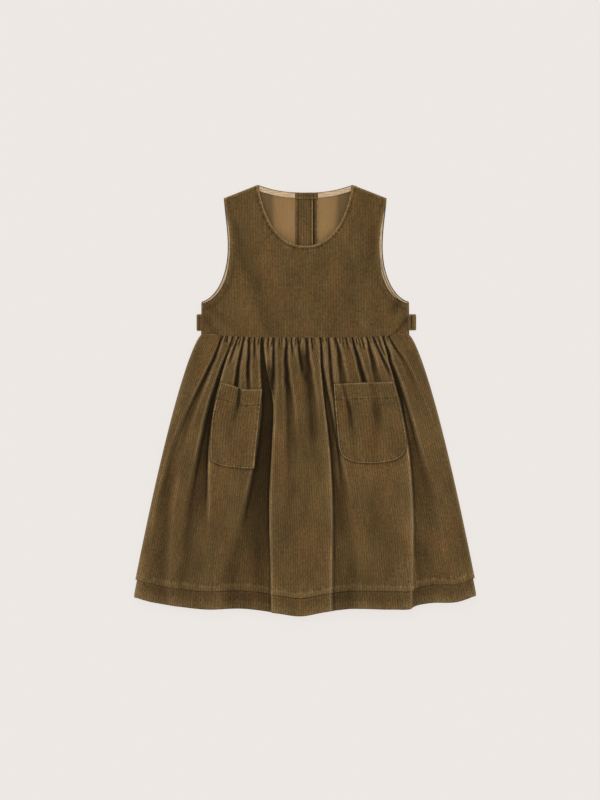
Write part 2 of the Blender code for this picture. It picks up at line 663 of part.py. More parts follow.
def back_low(xy, above, phase):
    """Underside of the back skirt: flat on the floor, grooved by its gathers, stepped at its tuck."""
    x, y = xy.T
    depth = np.maximum(WAIST_Y - y, 0)
    side = smoothstep((skirt_half(WAIST_Y - y) - np.abs(x) - 10) / 20)
    notch = np.clip(1 - np.abs(phase - 0.5) / 0.19, 0, 1)
    groove = BACK_GROOVE * notch * (1 - smoothstep(depth / BACK_GROOVE_REACH)) * side
    lap = OUTER_LIFT * (1 - smoothstep((np.abs(x - 3) - 14) / LAP_SLOPE)) * (1 - smoothstep(depth / 70))
    step = np.interp(above, (0, HEM_TURN, TUCK_FOLD - 0.2, TUCK_FOLD + 0.2), (0, 0, TUCK_BULK, 0))
    return np.maximum(groove, lap) + step


def back_top(xy):
    """Lowest height that leaves the back skirt clear."""
    side = rounded(skirt_half(WAIST_Y - xy[:, 1]) - np.abs(xy[:, 0]), SKIRT_ROLL * 2)
    return CLOTH + SEAM + (BACK_TOP - CLOTH) * side


def skirt_back():
    places = [k + place for k in range(BACK_GATHERS) for place in GROOVE_PLACES]
    places = np.array([0.0] + places + [float(BACK_GATHERS)])
    u = places / BACK_GATHERS * 2 - 1
    columns = np.arange(len(places))
    middle = np.array([0] + list(range(2, len(places), len(GROOVE_PLACES))) + [len(places) - 1])
    plan = [(d / SKIRT_LENGTH, 0.0, columns) for d in BACK_ROWS["every column"]]
    plan += [(d / SKIRT_LENGTH, 0.0, middle) for d in BACK_ROWS["every third"]]
    plan += [(1.0, rise, middle) for rise in BACK_HEM_ROWS]
    rows = []
    for share, rise, kept in plan:
        top_x = u[kept] * WAIST_HALF
        hem_x = u[kept] * skirt_half(FLARE_LENGTH)
        y = (1 - share) * waist_y(top_x) + share * (hem_y(hem_x) + rise + BACK_HEM_SHORT) - SEAM * (share == 0)
        x = u[kept] * (skirt_half(WAIST_Y - y) - BACK_INSET)
        xy = np.column_stack([x, y])
        above = y - hem_y(x) if share < 1 else np.full(len(x), rise)
        low = back_low(xy, above, places[kept] % 1)
        rows.append(row_of(below_tuck_set_in(xy, above), low + CLOTH, low, kept))
    return cloth_solid("skirt_back", rows, "corduroy")


def pocket(name, edges):
    """A patch pocket laid over the skirt's folds; it spans the small gathers and bends into the big ones."""
    across, down = 12, 12
    left = along(edges["left"], down, smooth=True)
    right = along(edges["right"], down, smooth=True)
    xy = patch(along(edges["top"], across), along(edges["bottom"], across, smooth=True), left, right)
    rows = []
    for points in xy:
        x, y = points.T
        above_hem = y - hem_y(x)
        reaches = (-POCKET_SPAN, 0, POCKET_SPAN)
        spanned = [skirt_height(x + reach, y, above_hem, gathered=False) for reach in reaches]
        ground = np.max(spanned, axis=0) + SEAM + POCKET_LIFT
        hem = POCKET_HEM_RISE * (1 - smoothstep((xy[0, :, 1] - y - POCKET_HEM + 3) / 6))
        rows.append(row_of(points, ground + CLOTH + hem, ground))
    return cloth_solid(name, rows, "corduroy")


def belt_loop(name, side, seam, slot, reach, y):
    """A folded strip that leaves the side seam, runs down beside it and comes back to it."""
    def ring(x0, x1, low, high, cut):
        """One round of the strip, with its two outer corners cut off."""
        return [(x0, high), (x1 - cut, high), (x1, high - cut), (x1, low + cut), (x1 - cut, low), (x0, low)]

    bottom, top = y
    curve = bpy.data.curves.new(name, "CURVE")
    curve.dimensions = "2D"
    curve.fill_mode = "BOTH"
    curve.extrude = LOOP_HEIGHT / 2 * MM
    for corners in (ring(seam, reach, bottom, top, 1.8), ring(*slot, bottom + LOOP_ARM, top - LOOP_ARM, 0.4)):
        spline = curve.splines.new("POLY")
        spline.points.add(len(corners) - 1)
        for point, (out, up) in zip(spline.points, corners):
            point.co = (side * out * MM, up * MM, 0, 1)
        spline.use_cyclic_u = True
    obj = add_object(name, curve, "corduroy")
    obj.location.z = LOOP_HEIGHT / 2 * MM
    return obj


def button(name, y):
    """A turned four-hole blank with a raised rim, under the overlap."""
    centre = (OUTER_EDGE + INNER_EDGE) / 2
    profile = ((0, 0.55), (3.4, 0.55), (4.2, 0.0), (5.1, 0.0), (BUTTON_RADIUS, 0.6), (BUTTON_RADIUS, 1.4),
               (4.9, BUTTON_THICK), (0, BUTTON_THICK))
    mesh = bpy.data.meshes.new(name)
    points = [(r * MM, 0, z * MM) for r, z in reversed(profile)]
    mesh.from_pydata(points, [(k, k + 1) for k in range(len(points) - 1)], [])
    obj = add_object(name, mesh, "button")
    turn = obj.modifiers.new("turn", "SCREW")
    turn.steps = turn.render_steps = 20
    turn.use_merge_vertices = True
    turn.merge_threshold = 0.00005
    obj.location = (centre * MM, y * MM, 0)
    return obj


for leftover in list(bpy.data.objects):
    bpy.data.objects.remove(leftover)
dress = bpy.data.collections.new("pinafore_dress")
bpy.context.scene.collection.children.link(dress)

bodice_front()
bodice_back("bodice_back_left", -1, INNER_EDGE, back_left_low)
bodice_back("bodice_back_right", 1, OUTER_EDGE, back_right_low)
LEFT_FACING = (INNER_EDGE - FACING_INSET - FACING_WIDTH, INNER_EDGE - FACING_INSET)
RIGHT_FACING = (OUTER_EDGE + FACING_INSET, OUTER_EDGE + FACING_WIDTH)
placket_facing("placket_facing_left", *LEFT_FACING, back_left_low, open_from=LEFT_FACING[0] - 1)
placket_facing("placket_facing_right", *RIGHT_FACING, back_right_low, open_from=INNER_EDGE + 1)
neck_binding("neck_binding_left", INNER_EDGE - FACING_WIDTH - 2 * SEAM, 1.5 - SHOULDER_NECK[0], back_left_low)
neck_binding("neck_binding_right", OUTER_EDGE + FACING_WIDTH + SEAM, SHOULDER_NECK[0] - 1.5, back_right_low)
armhole_binding("armhole_binding_left", -1)
armhole_binding("armhole_binding_right", 1)
skirt_front()
skirt_back()
for pocket_name, pocket_edges in POCKETS.items():
    pocket(pocket_name, pocket_edges)
for loop_name, loop in LOOPS.items():
    belt_loop(loop_name, **loop)
for number, button_y in enumerate(BUTTON_YS, start=1):
    button(f"button_{number}", button_y)
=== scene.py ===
"""Looks of a child's corduroy pinafore dress that lies flat on its back.

Every cloth piece is a fine shell on the form of its CAD solid. Sizes are millimetres in the CAD frame: X to
the right, Y from the hem to the shoulders, Z up out of the front. Meshes are stored in metres.
"""

import bpy
import bmesh
import numpy as np
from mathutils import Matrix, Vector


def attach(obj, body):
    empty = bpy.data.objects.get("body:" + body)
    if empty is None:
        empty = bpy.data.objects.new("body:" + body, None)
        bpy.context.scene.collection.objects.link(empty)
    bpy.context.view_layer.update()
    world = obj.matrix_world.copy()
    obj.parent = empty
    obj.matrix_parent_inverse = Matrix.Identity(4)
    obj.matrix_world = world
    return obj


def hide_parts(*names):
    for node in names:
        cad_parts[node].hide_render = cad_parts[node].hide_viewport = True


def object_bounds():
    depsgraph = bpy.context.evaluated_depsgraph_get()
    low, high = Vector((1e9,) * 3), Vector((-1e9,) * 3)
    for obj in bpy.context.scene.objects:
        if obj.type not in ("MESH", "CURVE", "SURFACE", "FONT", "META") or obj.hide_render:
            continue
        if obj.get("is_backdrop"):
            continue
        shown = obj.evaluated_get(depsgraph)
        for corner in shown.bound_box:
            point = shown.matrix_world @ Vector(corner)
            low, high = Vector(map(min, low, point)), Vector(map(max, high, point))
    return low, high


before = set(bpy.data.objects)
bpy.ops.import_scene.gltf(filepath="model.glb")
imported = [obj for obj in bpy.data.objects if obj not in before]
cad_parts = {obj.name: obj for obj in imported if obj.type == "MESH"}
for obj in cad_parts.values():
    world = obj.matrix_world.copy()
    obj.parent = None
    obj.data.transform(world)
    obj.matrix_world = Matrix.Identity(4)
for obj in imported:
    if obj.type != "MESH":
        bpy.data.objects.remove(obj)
CAD_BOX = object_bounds()

MM = 0.001

# Sizes of the CAD model -------------------------------------------------------------------------------------

CLOTH = 1.3
BINDING = 1.0
SEAM = 0.3
EDGE_LAP = 2 * CLOTH + SEAM  # height of two layers where front meets back

SHOULDER_NECK = (66.2, 301.7)
SHOULDER_TIP = (114.2, 282.8)
NECK_FRONT_Y = 215.6
NECK_BACK_Y = 290.5
UNDERARM = (145.6, 137.7)
WAIST_HALF = 146.0
WAIST_Y = 87.5
WAIST_RISE = 5.6  # the waist seam is this much higher at the side seams
SKIRT_FLARE = 96.4
FLARE_LENGTH = 361.0
FLARE_POWER = 0.735
FLARE_LEAD = 3.5  # the flare starts this far above the middle of the waist
HEM_LINE = {
    "x": (-239, -217, -183, -150, -82, -57, -40, -7, 27, 61, 128, 145, 161, 178, 220, 239),
    "y": (-277, -283, -288.5, -292.5, -292.5, -295.5, -298.2, -302.4, -296.8, -292.6, -293, -292.6, -287,
          -284.2, -281.4, -275),
}

INNER_EDGE = 10.85
OUTER_EDGE = -6.7
FACING_WIDTH = 24.5
CAP_DEPTH = 8.4
CAP_RISE = 0.5
FACING_INSET = 0.2
# left and right edge of each facing
LEFT_FACING = (INNER_EDGE - FACING_INSET - FACING_WIDTH, INNER_EDGE - FACING_INSET)
RIGHT_FACING = (OUTER_EDGE + FACING_INSET, OUTER_EDGE + FACING_WIDTH)
BUTTON_RADIUS = 5.5
BUTTON_THICK = 2.0
BUTTON_YS = (272.0, 218.0, 164.0, 110.0)
OUTER_LIFT = BUTTON_THICK + SEAM  # the outer back half lies on its buttons
INNER_LIFT = OUTER_LIFT + 2 * (CLOTH + SEAM)  # the inner half lies on the outer one and its facing
LAP_SLOPE = 36.0  # run over which the stacked opening settles to the floor

BODICE_RISE = 3.4
LAP_HUMP = 4.9
LAP_HUMP_WIDTH = 42.0
NECK_LIFT = 1.6
NECK_LIFT_REACH = 60.0
EDGE_ROLL = 16.0  # width of the rounded edge along shoulders, armholes and sides
BINDING_RIM = 1.1  # cloth that shows outside the neck's binding
BINDING_WIDTH = 7.0
BINDING_LIFT = 1.4  # height that the binding gives to the front's edge above it
BINDING_SHOW = {-1: 4.2, 1: 6.4}  # how far the back armhole stands past the front's, left and right
UNDERARM_SHOW = 2.9  # the same at the underarm, at most
BINDING_ENDS = (8, 120)  # points of the armhole between which its binding runs
BINDING_INSET = 1.3  # cloth that shows outside the armhole's binding
NECK_BINDING_END = 1.5  # from the neck point to the end of the neck's binding

BACK_TOP = 3.2  # highest point of the back skirt's wall under the folds
RIDGE = {"depth": (0, 8, 25, 60, 120, 200, 300, 400), "rise": (2.0, 3.8, 5.6, 7.6, 9.6, 10.6, 10.6, 10.2)}
SKIRT_ROLL = 13.0  # width of the rounded fold along each side
HEM_TURN = 10.5
HEM_INSET = 2.4  # the band below the tuck ends this much short of the tuck on each side
TUCK_FOLD = 25.6  # lower edge of the tuck, above the hem's edge
TUCK_STITCH = 35.5
TUCK_BULK = 1.4  # height that the back's tuck gives to the cloth on it
BACK_GATHERS = 22
BACK_GROOVE = 1.8
BACK_GROOVE_REACH = 150.0
BACK_INSET = 0.4  # from the front skirt's side fold to the back skirt's edge
BACK_HEM_SHORT = 0.6
SIDE_SEAM = 0.8  # the front's sides come down beside the back's

# Folds of the front skirt at these depths below the waist seam
DEPTHS = (0, 40, 90, 150, 225, 340)
FOLD_COLUMNS = ("left_foot", "right_foot", "left_run", "right_run", "loss")
PLEATS = {
    "left_valley": {
        "left_foot": (-101.5, -115.8, -131.8, -144.8, -156, -170),
        "right_foot": (-100.2, -113.6, -126.6, -134.8, -139.5, -150),
        "left_run": (2.2, 3.5, 5, 6, 12, 16),
        "right_run": (2, 2, 2.5, 2.5, 7, 20),
        "loss": (0.5, 0.7, 0.95, 0.9, 0.62, 0.3),
    },
    "left_trench": {
        "left_foot": (-61.3, -61.4, -60.3, -66, -77.5, -100),
        "right_foot": (-58.8, -55.2, -45.2, -46.5, -50.4, -49.2),
        "left_run": (2, 2.5, 2.5, 2.5, 9, 30),
        "right_run": (2, 2.5, 2.5, 2.8, 3, 4),
        "loss": (0.85, 1, 1, 1, 0.85, 0.48),
    },
    "centre_valley": {
        "left_foot": (21, 22.2, 27.5, 34.6, 39.8, 40.8),
        "right_foot": (22.4, 24.2, 33.4, 44, 53.5, 62),
        "left_run": (2, 2.2, 3, 3.5, 4, 4),
        "right_run": (2, 3, 4, 4.5, 13, 18),
        "loss": (0.9, 0.92, 0.7, 0.64, 0.56, 0.42),
    },
    "right_valley": {
        "left_foot": (108.8, 119.3, 133.3, 145, 152.3, 155),
        "right_foot": (110.7, 122.8, 139.5, 154.3, 171, 176.8),
        "left_run": (2, 2, 2.5, 3, 5, 9),
        "right_run": (2, 3, 5, 8, 16, 20),
        "loss": (0.9, 1, 0.86, 0.67, 0.5, 0.4),
    },
}
FOLDS = {
    "left_side": {
        "left_foot": (-116.3, -133.5, -156.5, -180, -199, -210),
        "right_foot": (-115, -131.3, -153, -175, -192, -200),
        "left_run": (2.2, 3, 5.5, 9, 11, 12),
        "right_run": (2.2, 4, 7, 10, 12, 12),
        "loss": (0.8, 0.75, 0.6, 0.5, 0.4, 0.3),
    },
    "pocket_left_a": {
        "left_foot": (-86.4, -94.6, -100.5, -102, -102, -102),
        "right_foot": (-85.2, -92.6, -96, -98, -98, -98),
        "left_run": (2, 3, 4, 4, 4, 4),
        "right_run": (2, 3, 4, 4, 4, 4),
        "loss": (0.85, 0.85, 0.45, 0, 0, 0),
    },
    "pocket_left_b": {
        "left_foot": (-78, -80.5, -80.5, -80.5, -80.5, -80.5),
        "right_foot": (-76.8, -78.5, -78.5, -78.5, -78.5, -78.5),
        "left_run": (2, 3, 4, 4, 4, 4),
        "right_run": (2, 3, 4, 4, 4, 4),
        "loss": (0.8, 0.75, 0.2, 0, 0, 0),
    },
    "centre_left": {
        "left_foot": (-27.1, -27.6, -24, -21.5, -20, -20),
        "right_foot": (-25.8, -25.3, -20.5, -18, -16, -16),
        "left_run": (2, 4, 7, 10, 12, 12),
        "right_run": (2, 4, 7, 10, 12, 12),
        "loss": (0.85, 0.85, 0.62, 0.38, 0.12, 0),
    },
    "centre_right": {
        "left_foot": (0.7, 4.5, 8.5, 11, 12, 12),
        "right_foot": (1.7, 6.5, 11.5, 15, 16, 16),
        "left_run": (2, 7, 10, 11, 11, 11),
        "right_run": (2, 4, 7, 9, 10, 10),
        "loss": (0.75, 0.65, 0.45, 0.2, 0.05, 0),
    },
    "pocket_right_a": {
        "left_foot": (42, 48, 53.5, 64, 66, 66),
        "right_foot": (43, 51, 58, 67, 69, 69),
        "left_run": (2, 4, 5, 6, 6, 6),
        "right_run": (2, 6, 8, 8, 8, 8),
        "loss": (0.8, 0.65, 0.4, 0.1, 0, 0),
    },
    "pocket_right_b": {
        "left_foot": (65, 75.2, 88.6, 98, 100, 100),
        "right_foot": (66.2, 78.2, 92, 101, 103, 103),
        "left_run": (2, 3.5, 5, 6, 6, 6),
        "right_run": (2, 3.5, 5, 6, 6, 6),
        "loss": (0.9, 0.85, 0.35, 0.1, 0, 0),
    },
    "pocket_right_c": {
        "left_foot": (85.4, 94, 104, 112, 112, 112),
        "right_foot": (86.6, 98, 108, 114, 114, 114),
        "left_run": (2, 3, 4, 4, 4, 4),
        "right_run": (2, 5, 6, 6, 6, 6),
        "loss": (0.8, 0.6, 0.1, 0, 0, 0),
    },
    "right_side": {
        "left_foot": (116.5, 140, 158, 176, 186, 190),
        "right_foot": (117.5, 142, 161, 182, 192, 196),
        "left_run": (2, 5, 8, 10, 10, 10),
        "right_run": (2, 5, 8, 10, 10, 10),
        "loss": (0.65, 0.42, 0.28, 0.15, 0, 0),
    },
}
GATHER_COLUMNS = ("seam_x", "lower_x", "reach", "loss")
GATHERS = (
    (-109.5, -113.5, 10, 0.85),
    (-92.8, -107.8, 46, 1),
    (-71, -71.5, 34, 0.9),
    (-51.5, -52, 24, 0.5),
    (-44.2, -44, 112, 1),
    (-36, -37, 17, 0.6),
    (-19.3, -17, 30, 0.85),
    (-10.6, -5.6, 58, 0.95),
    (9.5, 11.5, 22, 0.75),
    (32.2, 35.6, 95, 1),
    (57, 66, 21, 0.6),
    (79, 88, 19, 0.7),
    (95.5, 113, 78, 0.8),
    (101, 117, 40, 0.6),
)
GATHER_RUN = 2.1
WAVER = {"reach": 0.9, "step": 13, "fade": 90.0}  # folds stray this far from their lines near the waist
PINCH = 0.35  # they are this much narrower at the seam
SMALL_GATHERS = {"pitch": 4.7, "half": 122, "reach": (6, 19), "loss": (0.5, 0.98), "run": 1.6,
                 "seed": 91}

POCKETS = {
    "pocket_left": {
        "top": ((-118, 24.4), (-110, 22.6), (-102, 20.4), (-93.5, 17.2), (-90, 16), (-60.5, 15.2)),
        "right": ((-60.5, 15.2), (-65.2, -29.4), (-68, -56), (-71.5, -95.2)),
        "bottom": ((-132, -84), (-121.5, -89.6), (-101, -93.8), (-80.9, -95.6), (-71.5, -95.2)),
        "left": ((-118, 24.4), (-129.2, -22.4), (-131.8, -50), (-132, -84)),
    },
    "pocket_right": {
        "top": ((40, 22.4), (87.2, 24.4), (124, 25.4)),
        "right": ((124, 25.4), (132.7, -6.4), (138, -33.6), (141.2, -58), (140, -70), (135.3, -77.6)),
        "bottom": ((50.8, -76.2), (57.8, -82.2), (68.4, -86.2), (87.2, -88.2), (113.8, -86.2), (127.3, -83),
                   (135.3, -77.6)),
        "left": ((40, 22.4), (41.4, -1), (43.4, -25.2), (46, -54), (47.6, -67), (50.8, -76.2)),
    },
}
# width and length in metres, and area in square metres, of what shows of each pocket
POCKET_FLAT = {"pocket_left": (0.072, 0.118, 0.0075), "pocket_right": (0.098, 0.112, 0.0101)}
POCKET_HEM = 22.0
POCKET_HEM_RISE = 0.8
POCKET_LIFT = 0.5  # air under a pocket, above the folds that it spans
POCKET_SPAN = 3.0  # how far a pocket stays level past the brink of a fold

LOOPS = {
    "belt_loop_left": {"side": -1, "seam": 146.4, "slot": (147.5, 148.7), "reach": 152.2, "y": (96.8, 120.2)},
    "belt_loop_right": {"side": 1, "seam": 146.4, "slot": (147.9, 149.9), "reach": 155.4, "y": (97.6, 120.2)},
}
LOOP_ARM = 2.4
LOOP_HEIGHT = 8.0
LOOP_LEAN = 2.4  # the slot runs outwards this far on its way down

# Sizes of the finer forms -----------------------------------------------------------------------------------

WALE_PITCH = 3.55
STITCH_PITCH = 3.0
STITCH_LENGTH = 2.3
STITCH_RADIUS = 0.26
STITCH_LIFT = 0.12  # of a thread's middle above the cloth
NECK_STITCH = 5.0  # from the neckline's edge
ARMHOLE_STITCH = 6.5
POCKET_STITCH = 2.0
PLACKET_STITCH = 3.6
HEM_STITCH = 10.0
LIP_UNDERCUT = 2.6  # the tuck's fold hangs this far over the cloth below it
RIPPLE_PITCH = 6.1  # of the puckers along the stitching of tuck and hem
INSIDE_THREAD = 0.75  # pitch of the weave on the wrong side
BINDING_THREAD = 0.9
SHARP_ANGLE = 70  # degrees between faces that stay a sharp edge
# Each piece reads its cloth's noise in a layer of its own
GRAIN_LAYERS = {"bodice_front": 0, "bodice_back": 3, "facing": 5, "skirt_front": 8, "skirt_back": 11,
                "pocket": 14, "belt_loop": 17, "binding": 0}
BODICE_GRAIN = (0.92, 0.01)  # the front bodice's wales are drawn together and lean by this

# The crisp wall of each main fold: how far its brink hangs over the trough at DEPTHS, with a plus sign to the
# right, and how bright a painted highlight its pile gets along the brink
BRINKS = {
    "left_trench": {"wall": "right", "lean": (-0.4, -1.4, -2, -2.3, -2.3, -1.8),
                    "shine": (0.1, 0.1, 0.1, 0.1, 0.15, 0.2)},
    "centre_valley": {"wall": "left", "lean": (0.4, 1.1, 1.5, 1.5, 0.8, -1),
                      "shine": (0.2, 0.2, 0.25, 0.3, 0.5, 0.5)},
    "right_valley": {"wall": "left", "lean": (0.4, 1, 0.8, 0.6, 1.6, 3),
                     "shine": (0.4, 0.5, 0.55, 0.55, 0.6, 0.4)},
    "left_valley": {"wall": "right", "lean": (-0.4, -1, -1.5, -1.8, -1.4, -0.3),
                    "shine": (0.3, 0.38, 0.38, 0.38, 0.1, 0)},
}
BRINK_REACH = 9.0  # the lean and the broad shine fade over this
BRINK_EDGE = 1.6  # the bright edge itself fades over this

# Soft creases: two ends, half width and rise, minus for a trough
BODICE_CREASES = (
    (128.5, 97, 139, 109.5, 3.2, -0.9),
    (124.5, 99.5, 133, 116, 5, 0.5),
    (126, 128, 131.5, 139, 6, -0.5),
    (-134, 130, -112, 112, 9, -0.35),
    (-128, 98, -138, 112, 5, -0.4),
    (-96, 236, -88, 196, 8, -0.35),
    (96, 240, 90, 200, 8, -0.35),
    (-70, 168, -52, 108, 13, -0.3),
    (58, 180, 66, 118, 14, -0.3),
    (12, 196, 6, 130, 15, 0.3),
)
POCKET_CREASES = {
    "pocket_left": (
        (-91.8, 18, -93.5, -2, 2, -2.1),
        (-93.5, -2, -98, -22, 4, -0.8),
        (-108, -30, -104, -70, 9, -0.5),
        (-82, -20, -86, -64, 8, 0.4),
    ),
    "pocket_right": (
        (52.5, 20, 60.5, -8, 2.3, -1),
        (60.5, -8, 64, -30, 3.6, -0.7),
        (63, -30, 70, -74, 7, -0.6),
        (94, 20, 100, -18, 8, -0.75),
        (100, -18, 99, -48, 9, -0.5),
        (112, -6, 131, -5, 2.2, -0.5),
        (80, 10, 80, -60, 7, 0.5),
    ),
}
SKIRT_CREASES = (
    (135, 84, 152, 58, 3.5, -1),
    (-163, 62, -172, 30, 6, 0.7),
    (-192, -128, -203, -262, 10, -2.3),
    (-164, -150, -168, -240, 9, -1.8),
    (-178, -60, -186, -215, 8, 1.6),
    (-140, -200, -128, -255, 9, 1),
    (-108, -190, -112, -262, 12, -1.5),
    (-118, -96, -134, -160, 8, 1.3),
    (-88, -110, -92, -200, 7, 0.9),
    (-64, -210, -62, -262, 9, -1.6),
    (-36, -60, -40, -270, 8, 1.5),
    (-23, -60, -22, -145, 6, -1.5),
    (-4, -60, -2, -110, 8, 0.9),
    (-49.5, 42, -47.5, 22, 3.6, -5),
    (-3.2, 58, -1.2, 34, 4.5, -3),
    (0.5, 36, 9, -34, 8, -2.3),
    (10, -50, 17, -110, 7, -1.3),
    (42.6, -66, 46.5, -116, 2.3, 1.9),
    (14, -150, 22, -262, 8, 1),
    (28, -60, 35, -262, 5, 1.4),
    (46, -120, 50, -170, 5, -1.4),
    (70, -150, 68, -262, 8, -1.4),
    (90, -96, 88, -190, 9, 1),
    (104, -200, 106, -265, 10, 1.2),
    (122, -120, 124, -265, 8, -1.7),
    (142, -40, 149, -265, 6, 1.9),
    (176, -60, 190, -180, 8, 1.8),
    (163, -230, 160, -265, 9, -1.2),
    (153, -232, 155, -262, 2.6, 1.6),
    (196, -150, 206, -265, 9, 0.9),
    (206, -90, 222, -200, 7, -1.2),
)


# Curves and noise -------------------------------------------------------------------------------------------


def smoothstep(t):
    t = np.clip(t, 0.0, 1.0)
    return t * t * (3 - 2 * t)


def curve_through(stations, values, at):
    """A smooth curve through values at stations, held level past both ends."""
    s = np.asarray(stations, float)
    v = np.asarray(values, float)
    slope = np.gradient(v, s)
    at = np.clip(at, s[0], s[-1])
    k = np.clip(np.searchsorted(s, at) - 1, 0, len(s) - 2)
    step = s[k + 1] - s[k]
    t = (at - s[k]) / step
    start = (2 * t**3 - 3 * t**2 + 1) * v[k] + (t**3 - 2 * t**2 + t) * step * slope[k]
    return start + (3 * t**2 - 2 * t**3) * v[k + 1] + (t**3 - t**2) * step * slope[k + 1]


def bezier(points, t):
    """Points of a cubic Bezier arc, one row for each t."""
    p = np.asarray(points, float)
    t = np.asarray(t, float)[:, None]
    return (1 - t) ** 3 * p[0] + 3 * (1 - t) ** 2 * t * p[1] + 3 * (1 - t) * t**2 * p[2] + t**3 * p[3]


def lengths(path):
    """Length along a path at each of its points."""
    steps = np.diff(np.asarray(path, float), axis=0)
    return np.concatenate([[0], np.cumsum(np.sqrt((steps**2).sum(axis=1)))])


def along(path, shares, smooth=False):
    """Points at these shares of a path's length."""
    p = np.asarray(path, float)
    length = lengths(p)
    at = np.asarray(shares, float) * length[-1]
    read = curve_through if smooth else lambda s, v, a: np.interp(a, s, v)
    return np.stack([read(length, p[:, k], at) for k in range(p.shape[1])], axis=1)


def wander(at, step, seed):
    """Smooth noise from -1 to 1 along a line."""
    values = np.random.default_rng(seed).uniform(-1, 1, 256)
    at = np.asarray(at, float) / step
    k = np.floor(at).astype(int)
    t = smoothstep(at - k)
    return values[k % 256] * (1 - t) + values[(k + 1) % 256] * t


def field(x, y, cell, seed):
    """Smooth noise from -1 to 1 over the plane, in cells of this width and height."""
    values = np.random.default_rng(seed).uniform(-1, 1, (64, 64))
    gx, gy = np.asarray(x) / cell[0], np.asarray(y) / cell[1]
    kx, ky = np.floor(gx).astype(int), np.floor(gy).astype(int)
    tx, ty = smoothstep(gx - kx), smoothstep(gy - ky)
    low = values[kx % 64, ky % 64] * (1 - tx) + values[(kx + 1) % 64, ky % 64] * tx
    high = values[kx % 64, (ky + 1) % 64] * (1 - tx) + values[(kx + 1) % 64, (ky + 1) % 64] * tx
    return low * (1 - ty) + high * ty


def nearest(path, x, y):
    """Distance to a path and length along it, for an array of points."""
    x, y = np.asarray(x, float), np.asarray(y, float)
    a, b = path[:-1], path[1:]
    run = b - a
    reach = (run**2).sum(axis=1)
    start = lengths(path)[:-1]
    distance, station = np.full(x.shape, 1e9), np.zeros(x.shape)
    for k in range(len(a)):
        t = np.clip(((x - a[k, 0]) * run[k, 0] + (y - a[k, 1]) * run[k, 1]) / reach[k], 0, 1)
        d = np.hypot(x - a[k, 0] - t * run[k, 0], y - a[k, 1] - t * run[k, 1])
        closer = d < distance
        distance = np.where(closer, d, distance)
        station = np.where(closer, start[k] + t * np.sqrt(reach[k]), station)
    return distance, station


def rounded(distance, radius):
    """0 at an edge, rising like a quarter circle to 1 at the radius."""
    return np.sqrt(1 - (1 - np.clip(distance / radius, 0, 1)) ** 2)


def bump(distance, width):
    return np.exp(-((distance / width) ** 2))


def creases(x, y, table):
    """Sum of soft creases; each fades out past its ends."""
    total = np.zeros(np.shape(x))
    for x0, y0, x1, y1, width, rise in table:
        run = np.hypot(x1 - x0, y1 - y0)
        ahead = ((x - x0) * (x1 - x0) + (y - y0) * (y1 - y0)) / run
        aside = ((x - x0) * (y1 - y0) - (y - y0) * (x1 - x0)) / run
        past = np.maximum(np.maximum(-ahead, ahead - run), 0)
        total = total + rise * bump(aside, width) * bump(past, 0.35 * run + width)
    return total


def pucker(station, distance, reach, height, seed, pitch=6.5):
    """Ripples across a line of stitching."""
    phase = station / pitch + 0.7 * wander(station, 23.0, seed)
    strength = 0.65 + 0.35 * wander(station, 29.0, seed + 1)
    return height * strength * np.sin(2 * np.pi * phase) * bump(distance, reach)


# Outline ----------------------------------------------------------------------------------------------------


def armhole(count):
    """The right back armhole from shoulder tip to underarm."""
    fine = np.linspace(0, 1, 40)
    narrowest = (108.6, 215.0)
    upper = bezier((SHOULDER_TIP, (112.9, 262.0), (108.6, 240.0), narrowest), fine)
    lower = bezier((narrowest, (108.6, 172.0), (126.0, 142.6), UNDERARM), fine)
    return along(np.concatenate([upper, lower[1:]]), np.linspace(0, 1, count + 1))


def front_neck(shares):
    """The right half of the U neckline from the centre front up to the neck point."""
    arc = ((0.0, NECK_FRONT_Y), (40.6, NECK_FRONT_Y), (58.8, 259.7), SHOULDER_NECK)
    return along(bezier(arc, np.linspace(0, 1, 60)), shares)


ARMHOLE = armhole(120)
NECKLINE = front_neck(np.linspace(0, 1, 61))


def back_neck_y(x):
    return NECK_BACK_Y + (SHOULDER_NECK[1] - NECK_BACK_Y) * (np.abs(x) / SHOULDER_NECK[0]) ** 2.2


def shoulder_y(x):
    return np.interp(np.abs(x), (SHOULDER_NECK[0], SHOULDER_TIP[0]), (SHOULDER_NECK[1], SHOULDER_TIP[1]))


def waist_y(x):
    return WAIST_Y + WAIST_RISE * (np.abs(x) / WAIST_HALF) ** 3


def bodice_half(y):
    ys = np.concatenate([[WAIST_Y], ARMHOLE[::-1, 1]])
    xs = np.concatenate([[WAIST_HALF], ARMHOLE[::-1, 0]])
    return np.interp(y, ys, xs)


def skirt_half(depth):
    share = (depth + FLARE_LEAD) / (FLARE_LENGTH + FLARE_LEAD)
    return WAIST_HALF + SKIRT_FLARE * np.clip(share, 0, 1.1) ** FLARE_POWER


def hem_y(x):
    return curve_through(HEM_LINE["x"], HEM_LINE["y"], x)


def inward_of(path):
    """Unit normals to the right of a path: on the right side of the bodice, towards its cloth."""
    ahead = np.gradient(path, axis=0)
    return np.column_stack([ahead[:, 1], -ahead[:, 0]]) / np.hypot(*ahead.T)[:, None]


def inset_armhole(show, shares):
    """The right armhole of the front, set in from the back's by what shows of the back."""
    path = along(ARMHOLE, shares)
    inset = show * smoothstep(shares / 0.3) * (0.74 + 0.26 * smoothstep(5 * shares - 2.5))
    inset = inset + (min(show, UNDERARM_SHOW) - inset) * smoothstep(5 * shares - 4)
    return path + inset[:, None] * inward_of(path)


# Surfaces ---------------------------------------------------------------------------------------------------


def lap_hump(x):
    return LAP_HUMP * bump(x + 3, LAP_HUMP_WIDTH)


def edge_curl(distance, radius=1.5, drop=0.9):
    """Folded edges round off instead of ending square."""
    return -drop * (1 - rounded(distance, radius))


